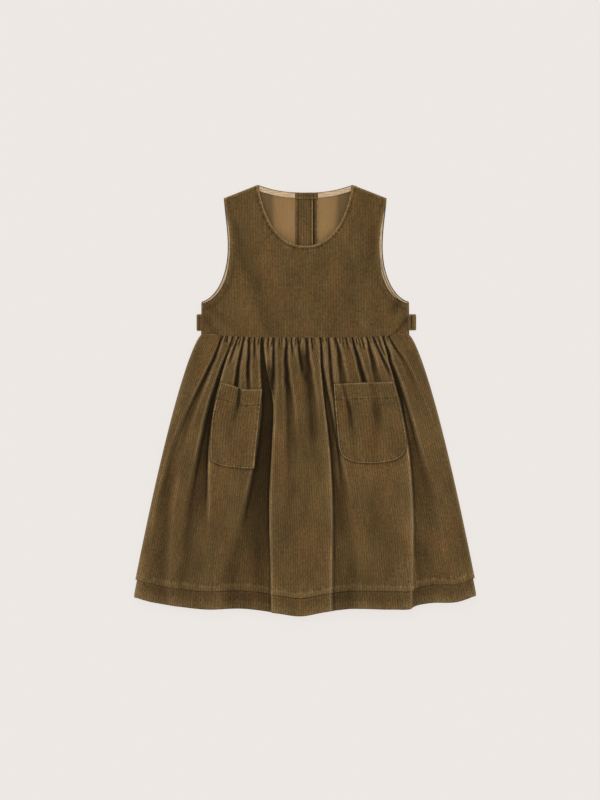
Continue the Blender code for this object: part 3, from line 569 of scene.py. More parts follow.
def stitched(distance, station, seed, height, depth=0.5, reach=3.2):
    """A line of topstitching: a groove, and ripples across it."""
    return -depth * bump(distance, 1.1) + pucker(station, distance, reach, height, seed)


FRONT_ARMHOLES = {side: inset_armhole(show, np.linspace(0, 1, 70)) for side, show in BINDING_SHOW.items()}


def bodice_surface(x, y):
    """Outer surface of the front bodice."""
    side = bodice_half(y) - np.abs(x)
    lower_arm = ARMHOLE[len(ARMHOLE) // 2:]
    under_arm = np.interp(np.abs(x), lower_arm[:, 0], lower_arm[:, 1], left=1000.0) - y
    under_arm = np.maximum(under_arm, 0.01)
    side = np.maximum(side, 0) * under_arm / np.hypot(np.maximum(side, 0.01), under_arm)
    shoulder = 0.9 * np.maximum(shoulder_y(x) - y, 0)
    on_binding = smoothstep((y - UNDERARM[1] + 14) / 6) * smoothstep((shoulder - 1) / 5)
    edge = EDGE_LAP + BINDING_LIFT * on_binding
    from_neck, neck_station = nearest(NECKLINE, np.abs(x), y)
    neck_station = neck_station * np.sign(x)
    neck = NECK_LIFT * (1 - smoothstep(from_neck / NECK_LIFT_REACH))
    body = EDGE_LAP + BODICE_RISE + lap_hump(x) + neck
    above_waist = y - waist_y(x)
    seam_dip = 0.5 * (1 - smoothstep(above_waist / 4))
    z = edge + (body - edge - seam_dip) * rounded(np.minimum(side, shoulder), EDGE_ROLL)
    z = z + edge_curl(from_neck) + 0.35 * bump(from_neck - 2.0, 1.4)
    z = z + stitched(from_neck - NECK_STITCH, neck_station, 11, 0.34, depth=0.6)
    for sign, path in FRONT_ARMHOLES.items():
        distance, station = nearest(path, sign * x, y)
        z = z + edge_curl(distance) + stitched(distance - ARMHOLE_STITCH, station, 15 + sign, 0.16)
    z = z + pucker(x, above_waist, 7.0, 0.30, 19, pitch=8.5)
    z = z + 0.22 * field(x, y, (26.0, 46.0), 21) + 0.10 * field(x, y, (9.0, 17.0), 22)
    return z + creases(x, y, BODICE_CREASES)


def waver(depth, place):
    """How far a fold that starts at this place of the seam strays sideways at a depth."""
    drift = wander(depth + 31.0 * (place + 200.0), WAVER["step"], 83)
    return WAVER["reach"] * drift * smoothstep(depth / 5.0) * np.exp(-depth / WAVER["fade"])


def fold_at(fold, depth, *columns):
    """These columns of a fold's table at a depth."""
    return [curve_through(DEPTHS, fold[column], depth) for column in columns]


def trough(x, depth, fold):
    """How much of the ridge height a fold takes away at a point: 0 outside it, its loss on its floor."""
    left, right, left_run, right_run, loss = fold_at(fold, depth, *FOLD_COLUMNS)
    x = x - waver(depth, fold["left_foot"][0])
    pinch = 1 - PINCH * (1 - smoothstep(depth / 26.0))
    outside = np.maximum((left - x) / left_run, (x - right) / right_run) / pinch
    return loss * (1 - smoothstep(outside))


def small_gathers():
    """Scallops between the gathers, as rows of the same table: uneven in place, lean, length and depth."""
    rng = np.random.default_rng(SMALL_GATHERS["seed"])
    count = int(2 * SMALL_GATHERS["half"] / SMALL_GATHERS["pitch"])
    rows = []
    for k in range(count):
        at = (k + 0.5 - count / 2 + rng.uniform(-0.36, 0.36)) * SMALL_GATHERS["pitch"]
        lower = at * 1.12 + rng.uniform(-4.0, 4.0)
        rows.append((at, lower, rng.uniform(*SMALL_GATHERS["reach"]), rng.uniform(*SMALL_GATHERS["loss"])))
    return rows


def notch_at(row, depth):
    """A gather's named columns, its centre at a depth and how much of it is left there."""
    notch = dict(zip(GATHER_COLUMNS, row))
    centre = notch["seam_x"] + (notch["lower_x"] - notch["seam_x"]) * depth / DEPTHS[1]
    left = notch["loss"] * (1 - smoothstep((depth / notch["reach"] - 0.35) / 0.65))
    return notch, centre, left


def gather(x, depth, row, run=GATHER_RUN):
    """A short gather: a notch that leaves the seam, leans and fades."""
    notch, centre, left = notch_at(row, depth)
    centre = centre + waver(depth, notch["seam_x"])
    run = run * (1 - PINCH + (0.6 + PINCH) * (depth / notch["reach"]))
    run = run * (1 + 0.8 * smoothstep((notch["reach"] - 40) / 30))
    return left * (1 - smoothstep(np.abs(x - centre) / run))


SCALLOPS = small_gathers()


def notch_centres(depth):
    """Where the sides and the folds and gathers that still show lie at a depth, from left to right."""
    found = []
    for fold in [*PLEATS.values(), *FOLDS.values()]:
        left, right, loss = fold_at(fold, depth, "left_foot", "right_foot", "loss")
        found.append(((left + right) / 2, loss))
    found += [notch_at(row, depth)[1:] for row in GATHERS]
    half = skirt_half(depth)
    return np.array([-half, *sorted(float(centre) for centre, left in found if left > 0.12), half])


def puff(x, depth):
    """Roundness of the cloth between neighbouring gathers near the waist, for one row."""
    centres = notch_centres(depth)
    k = np.clip(np.searchsorted(centres, x) - 1, 0, len(centres) - 2)
    gap = centres[k + 1] - centres[k]
    t = np.clip((x - centres[k]) / gap, 0, 1)
    height = np.clip(0.22 * gap, 0, 2.2) * np.exp(-depth / 48.0)
    return height * ((4 * t * (1 - t)) ** 0.8 - 0.6)


def open_share(x, depth, gathered=True):
    """Share of the ridge height that the folds leave at a point."""
    share = np.ones_like(x)
    for fold in PLEATS.values():
        share = share * (1 - trough(x, depth, fold))
    if gathered:
        for fold in FOLDS.values():
            share = share * (1 - trough(x, depth, fold))
        for row in GATHERS:
            share = share * (1 - gather(x, depth, row))
        for row in SCALLOPS:
            share = share * (1 - gather(x, depth, row, SMALL_GATHERS["run"]))
    else:
        share = share * (1 - trough(x, depth, FOLDS["left_side"]))
    return share


def skirt_surface(x, y, above_hem, gathered=True):
    """Outer surface of the front skirt without its tuck."""
    depth = np.maximum(waist_y(x) - y, 0)
    drop = np.maximum(WAIST_Y - y, 0)
    floor = BACK_TOP + 2 * SEAM + CLOTH + TUCK_BULK * smoothstep(1 - (above_hem - TUCK_STITCH) / 30)
    floor = floor + lap_hump(x) * smoothstep(1 - drop / 60)
    ridge = np.interp(drop, RIDGE["depth"], RIDGE["rise"]) * open_share(x, drop, gathered)
    side = skirt_half(WAIST_Y - y) - np.abs(x)
    roll = rounded(side, SKIRT_ROLL)
    lowest = EDGE_LAP + (floor - EDGE_LAP) * roll
    soft = 0.35 * field(x, y, (24.0, 110.0), 31) + 0.12 * field(x, y, (8.0, 30.0), 32)
    z = lowest + roll * (ridge + soft * smoothstep(drop / 60) + creases(x, y, SKIRT_CREASES))
    z = np.maximum(z, lowest - 0.2)
    if gathered:
        z = z + roll * puff(x, float(np.mean(drop)))
        z = z - 0.3 * (1 - smoothstep(depth / 2.5))
    return z


def beyond_brinks(x, depth):
    """For each crisp wall: its row, how far up the wall a point is, and its distance past the brink."""
    for name, row in BRINKS.items():
        foot, run = fold_at(PLEATS[name], depth, f"{row['wall']}_foot", f"{row['wall']}_run")
        climb = (foot - x) / run if row["wall"] == "left" else (x - foot) / run
        yield row, climb, (climb - 1) * run


def hem_ripple(x, above):
    """Puckers of the front skirt along the stitching of its tuck and its hem."""
    strength = 0.75 * bump(above - TUCK_STITCH + 3, 6.0) + bump(above - HEM_STITCH, 4.0)
    return 0.24 * strength * np.sin(2 * np.pi * (x / RIPPLE_PITCH + 0.8 * wander(x, 17.0, 61)))


def skirt_lean(x, depth):
    """How far the brinks of the main folds hang over their troughs, for points of the front skirt."""
    shift = np.zeros_like(x)
    for row, climb, past in beyond_brinks(x, depth):
        weight = np.where(climb < 1, smoothstep(climb), 1 - smoothstep(past / BRINK_REACH))
        shift = shift + curve_through(DEPTHS, row["lean"], depth) * weight
    return shift


def brink_shine(x, depth):
    """Painted highlight along the brinks of the main folds, brightest on their very edge."""
    shine = np.zeros_like(x)
    for row, climb, past in beyond_brinks(x, depth):
        wear_and_highlight = 0.55 * np.exp(-past / BRINK_REACH) + 0.9 * np.exp(-past / BRINK_EDGE)
        strength = curve_through(DEPTHS, row["shine"], depth)
        shine = shine + strength * np.where(climb < 1, 1.45 * smoothstep(2 * climb - 1), wear_and_highlight)
    return shine * smoothstep(depth / 30)


def sunk_share(x, y):
    """Share of the ridge height that folds and creases take away at a point of the front skirt."""
    drop = np.maximum(WAIST_Y - y, 0)
    ridge = np.interp(drop, RIDGE["depth"], RIDGE["rise"])
    return 1 - open_share(x, drop) - creases(x, y, SKIRT_CREASES) / ridge


def lap_low(x, edge, lift):
    """Underside of a back half: level where it overlaps, then down to the floor."""
    past = (edge - x) if edge < 0 else (x - edge)
    return lift * (1 - smoothstep(past / LAP_SLOPE))


def back_left_low(x):
    return lap_low(x, OUTER_EDGE, INNER_LIFT)


def back_right_low(x):
    return lap_low(x, OUTER_EDGE + FACING_WIDTH, OUTER_LIFT)


def back_low(x, y, above, phase):
    """Underside of the back skirt: flat on the floor, grooved by its gathers, stepped at its tuck."""
    depth = np.maximum(WAIST_Y - y, 0)
    side = smoothstep((skirt_half(WAIST_Y - y) - np.abs(x) - 10) / 20)
    notch = smoothstep(1 - np.abs(phase - 0.5) / 0.22)
    groove = BACK_GROOVE * notch * (1 - smoothstep(depth / BACK_GROOVE_REACH)) * side
    lap = OUTER_LIFT * (1 - smoothstep((np.abs(x - 3) - 14) / LAP_SLOPE)) * (1 - smoothstep(depth / 70))
    step = np.interp(above, (0, HEM_TURN, TUCK_FOLD - 0.2, TUCK_FOLD + 0.2), (0, 0, TUCK_BULK, 0))
    return np.maximum(groove, lap) + step


def back_top(x, y):
    """Lowest height that leaves the back skirt clear."""
    side = rounded(skirt_half(WAIST_Y - y) - np.abs(x), SKIRT_ROLL * 2)
    return CLOTH + SEAM + (BACK_TOP - CLOTH) * side


# Node materials ---------------------------------------------------------------------------------------------


class Nodes:
    """Short names for the nodes of one material."""

    def __init__(self, name):
        self.material = bpy.data.materials.new(name)
        self.material.use_nodes = True
        self.tree = self.material.node_tree
        self.shader = self.tree.nodes["Principled BSDF"]

    def add(self, kind, inputs=(), **settings):
        node = self.tree.nodes.new(kind)
        for key, value in settings.items():
            setattr(node, key, value)
        for key, value in dict(inputs).items():
            self.put(node.inputs[key], value)
        return node

    def put(self, socket, value):
        if isinstance(value, bpy.types.NodeSocket):
            self.tree.links.new(value, socket)
        else:
            socket.default_value = value

    def math(self, operation, *values):
        node = self.add("ShaderNodeMath", operation=operation)
        for socket, value in zip(node.inputs, values):
            self.put(socket, value)
        return node.outputs[0]

    def times(self, first, second):
        return self.math("MULTIPLY", first, second)

    def blend(self, factor, value, base):
        """factor times value, plus base."""
        return self.math("MULTIPLY_ADD", factor, value, base)

    def attribute(self, name, output="Vector"):
        return self.add("ShaderNodeAttribute", attribute_name=name).outputs[output]

    def split(self, vector):
        return self.add("ShaderNodeSeparateXYZ", {0: vector}).outputs

    def joined(self, *values):
        return self.add("ShaderNodeCombineXYZ", dict(enumerate(values))).outputs[0]

    def scaled(self, vector, scale):
        return self.add("ShaderNodeVectorMath", {0: vector, 1: scale}, operation="MULTIPLY").outputs[0]

    def lit(self, colour, light):
        return self.add("ShaderNodeVectorMath", {0: colour, "Scale": light}, operation="SCALE").outputs[0]

    def noise(self, vector, detail, roughness=0.5):
        inputs = {"Vector": vector, "Scale": 1.0, "Detail": detail, "Roughness": roughness}
        return self.add("ShaderNodeTexNoise", inputs, noise_dimensions="3D").outputs["Fac"]

    def mapped(self, value, low, high, to_low=0.0, to_high=1.0, smooth=False):
        inputs = {"Value": value, "From Min": low, "From Max": high, "To Min": to_low, "To Max": to_high}
        kind = "SMOOTHSTEP" if smooth else "LINEAR"
        return self.add("ShaderNodeMapRange", inputs, interpolation_type=kind).outputs["Result"]

    def mix(self, share, first, second):
        return self.add("ShaderNodeMix", {0: share, 6: first, 7: second}, data_type="RGBA").outputs[2]

    def finish(self, colour, height=None, distance=0.0, **values):
        """Sets the shader's sockets, and its bump from a height; returns the material."""
        for key, value in {"Base Color": colour, **values}.items():
            self.put(self.shader.inputs[key.replace("_", " ")], value)
        if height is not None:
            inputs = {"Height": height, "Distance": distance, "Strength": 1.0}
            self.put(self.shader.inputs["Normal"], self.add("ShaderNodeBump", inputs).outputs[0])
        return self.material


def rgb(red, green, blue):
    return (red, green, blue, 1.0)


# The last three colours are painted: shade in the wale grooves, a lighter tone for wear and highlights, and
# deep shade.
CORDUROY = {
    "crest": rgb(0.130, 0.0745, 0.0262),
    "olive": rgb(0.113, 0.0705, 0.0254),
    "russet": rgb(0.141, 0.0762, 0.0268),
    "groove_shade_colour": rgb(0.058, 0.0335, 0.0120),
    "wear_and_highlight": rgb(0.310, 0.200, 0.0900),
    "deep_shade": rgb(0.011, 0.0070, 0.0030),
}


def corduroy(name, groove_shade=0.66, mottle=0.23):
    """Wales along the grain, puckers at the seams; lighter edges (wear and painted highlight), painted shade
    in grooves and hollows.
    """
    n = Nodes(name)
    grain = n.attribute("grain")
    wear_and_highlight, painted_shade = n.attribute("wear_and_highlight", "Fac"), n.attribute("painted_shade", "Fac")
    place = n.split(grain)
    drift = n.noise(n.scaled(grain, (0.05, 0.028, 1.0)), 2.0)
    wales = n.math("DIVIDE", n.blend(drift, 2.2, place[0]), WALE_PITCH)
    wale = n.mapped(n.math("PINGPONG", wales, 0.5), 0.02, 0.30, smooth=True)
    each = n.joined(n.times(n.math("FLOOR", wales), 5.3), n.times(place[1], 0.045))

    streak = n.noise(each, 3.0, 0.65)
    patchy, warm, brushed, fleck, pile = (
        n.noise(n.scaled(grain, scale), detail, roughness) for scale, detail, roughness in (
            ((0.030, 0.013, 1.0), 3.0, 0.55), ((0.034, 0.018, 1.7), 3.0, 0.6), ((0.22, 0.060, 1.3), 3.0, 0.6),
            ((0.52, 0.27, 1.0), 1.0, 0.5), ((1.5, 0.50, 1.0), 3.0, 0.7)))

    seam = n.split(n.attribute("seam"))
    offset, strength = n.math("ABSOLUTE", seam[1]), seam[2]
    ripple = n.noise(n.joined(n.times(seam[0], 0.34), n.times(seam[1], 0.07), strength), 1.0)
    beside = n.times(n.mapped(offset, 0.6, 4.6, 1.0, 0.0, smooth=True), strength)
    pucker = n.times(n.mapped(ripple, 0.36, 0.64, -1.0, 1.0), beside)
    stitch_groove = n.times(n.mapped(offset, 0.3, 1.1, 1.0, 0.0, smooth=True), strength)

    tone = n.mix(n.mapped(warm, 0.38, 0.72, smooth=True), CORDUROY["olive"], CORDUROY["russet"])
    tone = n.mix(0.2, tone, CORDUROY["crest"])
    # Lighter on edges, crests and brinks: partly wear, partly painted highlight.
    tone = n.mix(n.times(wear_and_highlight, 0.80), tone, CORDUROY["wear_and_highlight"])
    # Painted shade in the grooves between the wales.
    groove = n.mapped(brushed, 0.32, 0.68, 0.15 * groove_shade, groove_shade)
    tone = n.mix(n.times(n.math("SUBTRACT", 1.0, wale), groove), tone, CORDUROY["groove_shade_colour"])
    # Painted shade in the stitching grooves, the troughs of the puckers and the hollows of the cloth.
    sunk = n.times(n.math("MAXIMUM", n.times(pucker, -1.0), 0.0), 0.32)
    shaded = n.math("MAXIMUM", n.times(painted_shade, 0.88), n.math("ADD", n.times(stitch_groove, 0.42), sunk))
    tone = n.mix(shaded, tone, CORDUROY["deep_shade"])
    light = n.mapped(streak, 0.28, 0.72, 0.87, 1.13)
    for noise, low, high, spread_by in ((patchy, 0.30, 0.70, mottle), (brushed, 0.30, 0.70, 0.12),
                                        (fleck, 0.30, 0.70, 0.24), (pile, 0.25, 0.75, 0.20)):
        light = n.times(light, n.mapped(noise, low, high, 1 - spread_by, 1 + spread_by))
    # Painted highlight on the raised parts of the puckers.
    light = n.times(light, n.blend(n.math("MAXIMUM", pucker, 0.0), 0.5, 1.0))
    height = n.blend(pile, 0.22, n.times(wale, 0.75))
    height = n.blend(stitch_groove, -0.8, n.blend(pucker, 0.9, height))
    return n.finish(n.lit(tone, light), height, 0.0006, Roughness=0.92, Specular_IOR_Level=0.06,
                    Sheen_Weight=0.32, Sheen_Roughness=0.42, Sheen_Tint=rgb(0.62, 0.44, 0.24))


def corduroy_inside():
    """Plain wrong side: a close weave with faint lines where the wales are."""
    n = Nodes("corduroy_inside")
    grain = n.attribute("grain")
    place = n.split(grain)
    line = n.math("PINGPONG", n.math("DIVIDE", place[0], WALE_PITCH), 0.5)
    line = n.mapped(line, 0.0, 0.5, smooth=True)
    weave = n.times(*(n.math("SINE", n.times(place[k], 2 * np.pi / INSIDE_THREAD)) for k in (0, 1)))
    mottled = n.noise(n.scaled(grain, (0.06, 0.03, 1.0)), 4.0, 0.6)
    slub = n.noise(n.scaled(grain, (1.1, 0.10, 1.0)), 3.0)
    tone = n.mix(n.mapped(mottled, 0.3, 0.7), rgb(0.266, 0.153, 0.057), rgb(0.320, 0.188, 0.074))
    # Painted shade near the neck's sides; at the armhole's edge the brown face of the rolled cloth, darkened
    # further by painted shade.
    tone = n.mix(n.attribute("shade", "Fac"), tone, rgb(0.125, 0.078, 0.029))
    tone = n.mix(n.attribute("rim", "Fac"), tone, rgb(0.060, 0.034, 0.012))
    light = n.times(n.mapped(slub, 0.25, 0.75, 0.94, 1.06), n.mapped(line, 0.0, 1.0, 0.975, 1.02))
    height = n.blend(weave, 0.25, n.times(line, 0.5))
    return n.finish(n.lit(tone, light), height, 0.0002, Roughness=0.88, Specular_IOR_Level=0.2,
                    Sheen_Weight=0.08)


def binding_cloth():
    """Sand cotton bias tape: a fine diagonal weave with a slight lustre."""
    n = Nodes("binding")
    grain = n.attribute("grain")
    place = n.split(grain)
    weave = n.times(*(n.math("SINE", n.times(n.math(way, place[0], place[1]), 2 * np.pi / BINDING_THREAD))
                      for way in ("ADD", "SUBTRACT")))
    cloudy = n.noise(n.scaled(grain, (0.12, 0.3, 1.0)), 3.0)
    lines = n.blend(place[0], -0.14, n.times(place[1], 0.62))
    slant = n.noise(n.joined(lines, n.times(place[0], 0.035)), 2.0)
    tone = n.mix(n.mapped(cloudy, 0.3, 0.7), rgb(0.56, 0.400, 0.225), rgb(0.70, 0.51, 0.305))
    # Painted shade along the tape's edges and its fold, and an even darkening on the armholes.
    tone = n.mix(n.attribute("edge", "Fac"), tone, rgb(0.095, 0.054, 0.020))
    # Painted light and shade along the slanting puckers.
    light = n.mapped(slant, 0.36, 0.60, 0.70, 1.12)
    height = n.blend(slant, 1.5, n.times(weave, 0.3))
    return n.finish(n.lit(tone, light), height, 0.0002, Roughness=0.5, Specular_IOR_Level=0.45,
                    Sheen_Weight=0.15)


def thread(name, colour):
    """Twisted sewing thread."""
    n = Nodes(name)
    place = n.add("ShaderNodeNewGeometry").outputs["Position"]
    uneven = n.noise(n.scaled(place, (900.0, 900.0, 900.0)), 2.0)
    dark = tuple(0.62 * c for c in colour[:3]) + (1.0,)
    return n.finish(n.mix(n.mapped(uneven, 0.3, 0.7), dark, colour), uneven, 0.00008, Roughness=0.8,
                    Specular_IOR_Level=0.15)


def button_plastic():
    """Dark brown horn-like plastic with faint swirls."""
    n = Nodes("button")
    place = n.add("ShaderNodeNewGeometry").outputs["Position"]
    swirl = n.noise(n.scaled(place, (240.0, 700.0, 240.0)), 4.0, 0.6)
    fine = n.noise(n.scaled(place, (1500.0, 1500.0, 1500.0)), 2.0)
    tone = n.mix(n.mapped(swirl, 0.35, 0.65), rgb(0.052, 0.028, 0.014), rgb(0.135, 0.078, 0.040))
    return n.finish(tone, fine, 0.00003, Roughness=n.mapped(fine, 0.2, 0.8, 0.28, 0.42))


def floor_paint():
    """A light table: part of its brightness is its own, so that shadows on it stay faint."""
    return Nodes("studio_floor").finish(FLOOR_COLOUR, Roughness=1.0, Specular_IOR_Level=0.0,
                                        Emission_Color=FLOOR_GLOW, Emission_Strength=1.0)


# Meshes -----------------------------------------------------------------------------------------------------


def new_object(name, data):
    obj = bpy.data.objects.new(name, data)
    bpy.context.scene.collection.objects.link(obj)
    return obj


def mesh_object(name, points, faces, materials, face_slots=None, facts=()):
    """An object from points in millimetres; facts are values for each point, kept as attributes."""
    mesh = bpy.data.meshes.new(name)
    mesh.from_pydata((np.asarray(points) * MM).tolist(), [], faces)
    for key, values in dict(facts).items():
        values = np.asarray(values, np.float32)
        kind = "FLOAT_VECTOR" if values.ndim == 2 else "FLOAT"
        layer = mesh.attributes.new(key, kind, "POINT")
        layer.data.foreach_set("vector" if values.ndim == 2 else "value", values.ravel())
    for material in materials:
        mesh.materials.append(material)
    if face_slots is not None:
        mesh.polygons.foreach_set("material_index", np.asarray(face_slots, np.int32))
    mesh.validate()
    bm = bmesh.new()
    bm.from_mesh(mesh)
    bmesh.ops.recalc_face_normals(bm, faces=bm.faces)
    bm.to_mesh(mesh)
    bm.free()
    mesh.shade_smooth()
    mesh.set_sharp_from_angle(angle=np.radians(SHARP_ANGLE))
    return new_object(name, mesh)


def grid_faces(numbers):
    a, b, c, d = numbers[:-1, :-1], numbers[:-1, 1:], numbers[1:, 1:], numbers[1:, :-1]
    return np.stack([a, b, c, d], axis=-1).reshape(-1, 4).tolist()


def shell(name, outer, inner, grain, materials, facts=(), rows=None, columns=None):
    """A closed thin shell, with the second material inside.

    inner is the grid of the outer rows and columns that rows and columns list.
    """
    outer, inner = np.asarray(outer), np.asarray(inner)
    rows = np.arange(outer.shape[0]) if rows is None else np.asarray(rows)
    columns = np.arange(outer.shape[1]) if columns is None else np.asarray(columns)
    over = np.arange(outer.shape[0] * outer.shape[1]).reshape(outer.shape[:2])
    under = over.size + np.arange(inner.shape[0] * inner.shape[1]).reshape(inner.shape[:2])
    top = grid_faces(over)
    bottom = grid_faces(under)
    rim = []
    for high, low, marks in ((over, under, columns), (over.T, under.T, rows)):
        for edge in (0, -1):
            for k, (a, b) in enumerate(zip(marks, marks[1:])):
                rim.append([*high[edge, a:b + 1].tolist(), int(low[edge, k + 1]), int(low[edge, k])])
    pick = np.ix_(rows, columns)
    points = np.concatenate([outer.reshape(-1, 3), inner.reshape(-1, 3)])
    given = {"grain": grain, **dict(facts)}
    both = {}
    for key, values in given.items():
        values = np.asarray(values, float)
        tail = values.shape[2:]
        both[key] = np.concatenate([values.reshape(-1, *tail), values[pick].reshape(-1, *tail)])
    slots = [0] * len(top) + [1] * len(bottom) + [0] * len(rim)
    return mesh_object(name, points, top + bottom + rim, materials, slots, both)


def patch(top, bottom, left, right, u, v):
    """Plan points of a four-sided panel at shares u across and v down, filled between its edges."""
    u, v = np.asarray(u)[None, :, None], np.asarray(v)[:, None, None]
    between = (1 - v) * top[None] + v * bottom[None] + (1 - u) * left[:, None] + u * right[:, None]
    corners = (1 - v) * ((1 - u) * top[0] + u * top[-1]) + v * ((1 - u) * bottom[0] + u * bottom[-1])
    return between - corners


def spread(*stretches):
    """Rising shares from (from, to, count) stretches that follow on each other."""
    parts = [np.linspace(start, end, count, endpoint=False) for start, end, count in stretches]
    return np.concatenate(parts + [[stretches[-1][1]]])


def softened(values, passes):
    """Averages each value of a grid with its neighbours."""
    v = np.asarray(values, float)
    for _ in range(passes):
        padded = np.pad(v, 1, mode="edge")
        v = (2 * v + padded[:-2, 1:-1] + padded[2:, 1:-1] + padded[1:-1, :-2] + padded[1:-1, 2:]) / 6
    return v


def seam_facts(*seams):
    """Place along the nearest seam, distance from it and strength of its puckers, from such triples."""
    shape = np.broadcast_shapes(*(np.shape(distance) for _, distance, _ in seams))
    station, distance, strength = np.zeros(shape), np.full(shape, 1e6), np.zeros(shape)
    for number, (at, away, force) in enumerate(seams):
        closer = np.abs(away) < np.abs(distance)
        station = np.where(closer, at + 517.0 * number, station)
        strength = np.where(closer, force, strength)
        distance = np.where(closer, away, distance)
    return np.dstack([station, np.clip(distance, -30, 30), strength])


def cloth_facts(wear_and_highlight, painted_shade, *seams):
    return {"wear_and_highlight": np.clip(wear_and_highlight, 0, 1), "painted_shade": np.clip(painted_shade, 0, 1), "seam": seam_facts(*seams)}


def grain_map(across, down, piece):
    """Place in the cloth across and along its wales, in the piece's own layer of noise."""
    return np.dstack([across, down, np.full(np.shape(across), float(GRAIN_LAYERS[piece]))])


def relief(x, z, reach):
    """Height of each row of points above the mean of its surroundings."""
    even = np.arange(-250.0, 250.5, 0.75)
    weights = np.exp(-(np.arange(-3 * reach, 3 * reach + 0.1, 0.75) / reach) ** 2 / 2)
    weights = weights / weights.sum()
    margin = len(weights) // 2
    found = []
    for row_x, row_z in zip(x, z):
        level = np.pad(np.interp(even, row_x, row_z), margin, mode="edge")
        found.append(row_z - np.interp(row_x, even, np.convolve(level, weights, "valid")))
    return np.array(found)


def dress_piece(obj, slot, *nodes):
    """Rides on the dress and stands for its CAD nodes."""
    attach(obj, "root")
    if nodes:
        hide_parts(*nodes)


# Stitching --------------------------------------------------------------------------------------------------

STITCH_SIDES = 6
BUTTONHOLE_STITCHES = 52
BUTTONHOLE_HALF = 5.6  # half the length of the slit
STITCH_PROFILE = {"share": (0.0, 0.16, 0.5, 0.84, 1.0), "radius": (0.35, 0.9, 1.0, 0.9, 0.35),
                  "sink": (1.0, 0.25, 0.0, 0.25, 1.0)}


def stitch_points(path, pitch, length):
    """Start and end of each stitch along a path of 3-D points."""
    total = lengths(path)[-1]
    count = max(int(total / pitch), 1)
    step = total / count
    starts = (np.arange(count) * step + (step - length) / 2) / total
    return [along(path, np.linspace(s, s + length / total, 3)) for s in starts]


def stitches(name, paths, slot, material, pitch=STITCH_PITCH, length=STITCH_LENGTH, radius=STITCH_RADIUS):
    """Short raised threads along paths, joined into one mesh."""
    points, faces = [], []
    turn = np.linspace(0, 2 * np.pi, STITCH_SIDES, endpoint=False)
    rings = len(STITCH_PROFILE["share"])
    for path in paths:
        for arc in stitch_points(np.asarray(path, float), pitch, length):
            ahead = arc[2] - arc[0]
            ahead = ahead / np.linalg.norm(ahead)
            aside = np.cross(ahead, (0.0, 0.0, 1.0))
            aside = aside / np.linalg.norm(aside)
            up = np.cross(aside, ahead)
            first = len(points)
            for share, wide, sink in zip(*STITCH_PROFILE.values()):
                centre = along(arc, [share])[0] - up * radius * 0.9 * sink
                ring = centre + radius * wide * (np.cos(turn)[:, None] * aside + np.sin(turn)[:, None] * up)
                points.extend(ring)
            for r in range(rings - 1):
                for s in range(STITCH_SIDES):
                    a, b = first + r * STITCH_SIDES + s, first + r * STITCH_SIDES + (s + 1) % STITCH_SIDES
                    faces.append([a, b, b + STITCH_SIDES, a + STITCH_SIDES])
            faces.append([first + s for s in reversed(range(STITCH_SIDES))])
            faces.append([first + (rings - 1) * STITCH_SIDES + s for s in range(STITCH_SIDES)])
    dress_piece(mesh_object(name, points, faces, [material]), slot)


# Stage ------------------------------------------------------------------------------------------------------

PHOTO_CENTRE = (-7.3, 0.0)
PHOTO_HEIGHT = 1120.0  # what the frame's height covers at the level of FOCUS_HEIGHT
FOCUS_HEIGHT = 8.0
FLOOR_HALF = 4.0  # metres
FLOOR_DROP = 0.0002  # metres below the rest face
LENS = 120.0
SENSOR = 36.0
FLOOR_COLOUR = (0.08, 0.0764, 0.074, 1.0)
FLOOR_GLOW = (0.768, 0.733, 0.706, 1.0)
SKY_STRENGTH = 0.66
SUNS = (  # strength, and in degrees the tilt from straight down, the turn about Z and the angular size
    (1.05, 30.0, 118.0, 50.0),
    (0.25, 55.0, -40.0, 70.0),
)


def stage():
    """Floor, even sky, two soft suns and a camera that looks straight down."""
    corners = [(FLOOR_HALF * x, FLOOR_HALF * y, 0) for x, y in ((-1, -1), (1, -1), (1, 1), (-1, 1))]
    mesh = bpy.data.meshes.new("floor")
    mesh.from_pydata(corners, [], [(0, 1, 2, 3)])
    mesh.materials.append(floor_paint())
    floor = new_object("floor", mesh)
    floor.location.z = -FLOOR_DROP
    floor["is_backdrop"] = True

    world = bpy.data.worlds.new("studio")
    world.use_nodes = True
    sky = world.node_tree.nodes["Background"].inputs
    sky["Color"].default_value = rgb(1.0, 1.0, 1.0)
    sky["Strength"].default_value = SKY_STRENGTH
    bpy.context.scene.world = world
    for number, (strength, tilt, azimuth, angle) in enumerate(SUNS, start=1):
        data = bpy.data.lights.new(f"soft_light_{number}", "SUN")
        data.energy = strength
        data.angle = np.radians(angle)
        new_object(data.name, data).rotation_euler = (0, np.radians(tilt), np.radians(azimuth))

    data = bpy.data.cameras.new("camera")
    data.lens = LENS
    data.sensor_width = SENSOR
    data.clip_end = 100.0
    camera = new_object("camera", data)
    distance = PHOTO_HEIGHT * LENS / SENSOR
    camera.location = (PHOTO_CENTRE[0] * MM, PHOTO_CENTRE[1] * MM, (distance + FOCUS_HEIGHT) * MM)
    bpy.context.scene.camera = camera
    bpy.context.scene.view_settings.view_transform = "Standard"


# Bodice -----------------------------------------------------------------------------------------------------


def side_line(show, v):
    """The right armhole and side seam from the shoulder tip to the waist, at shares of its length."""
    fine = inset_armhole(show, np.linspace(0, 1, 160))
    path = np.concatenate([fine, [(WAIST_HALF, waist_y(WAIST_HALF))]])
    return along(path, v)


NECK_SHARE = 0.62  # of the columns, and of the waist, lies below the neckline
BACK_NECK_SHARE = 0.55


def shoulder_line(shares):
    """Points of the right shoulder from the neck point to the tip."""
    return np.array(SHOULDER_NECK) + np.outer(shares, np.subtract(SHOULDER_TIP, SHOULDER_NECK))


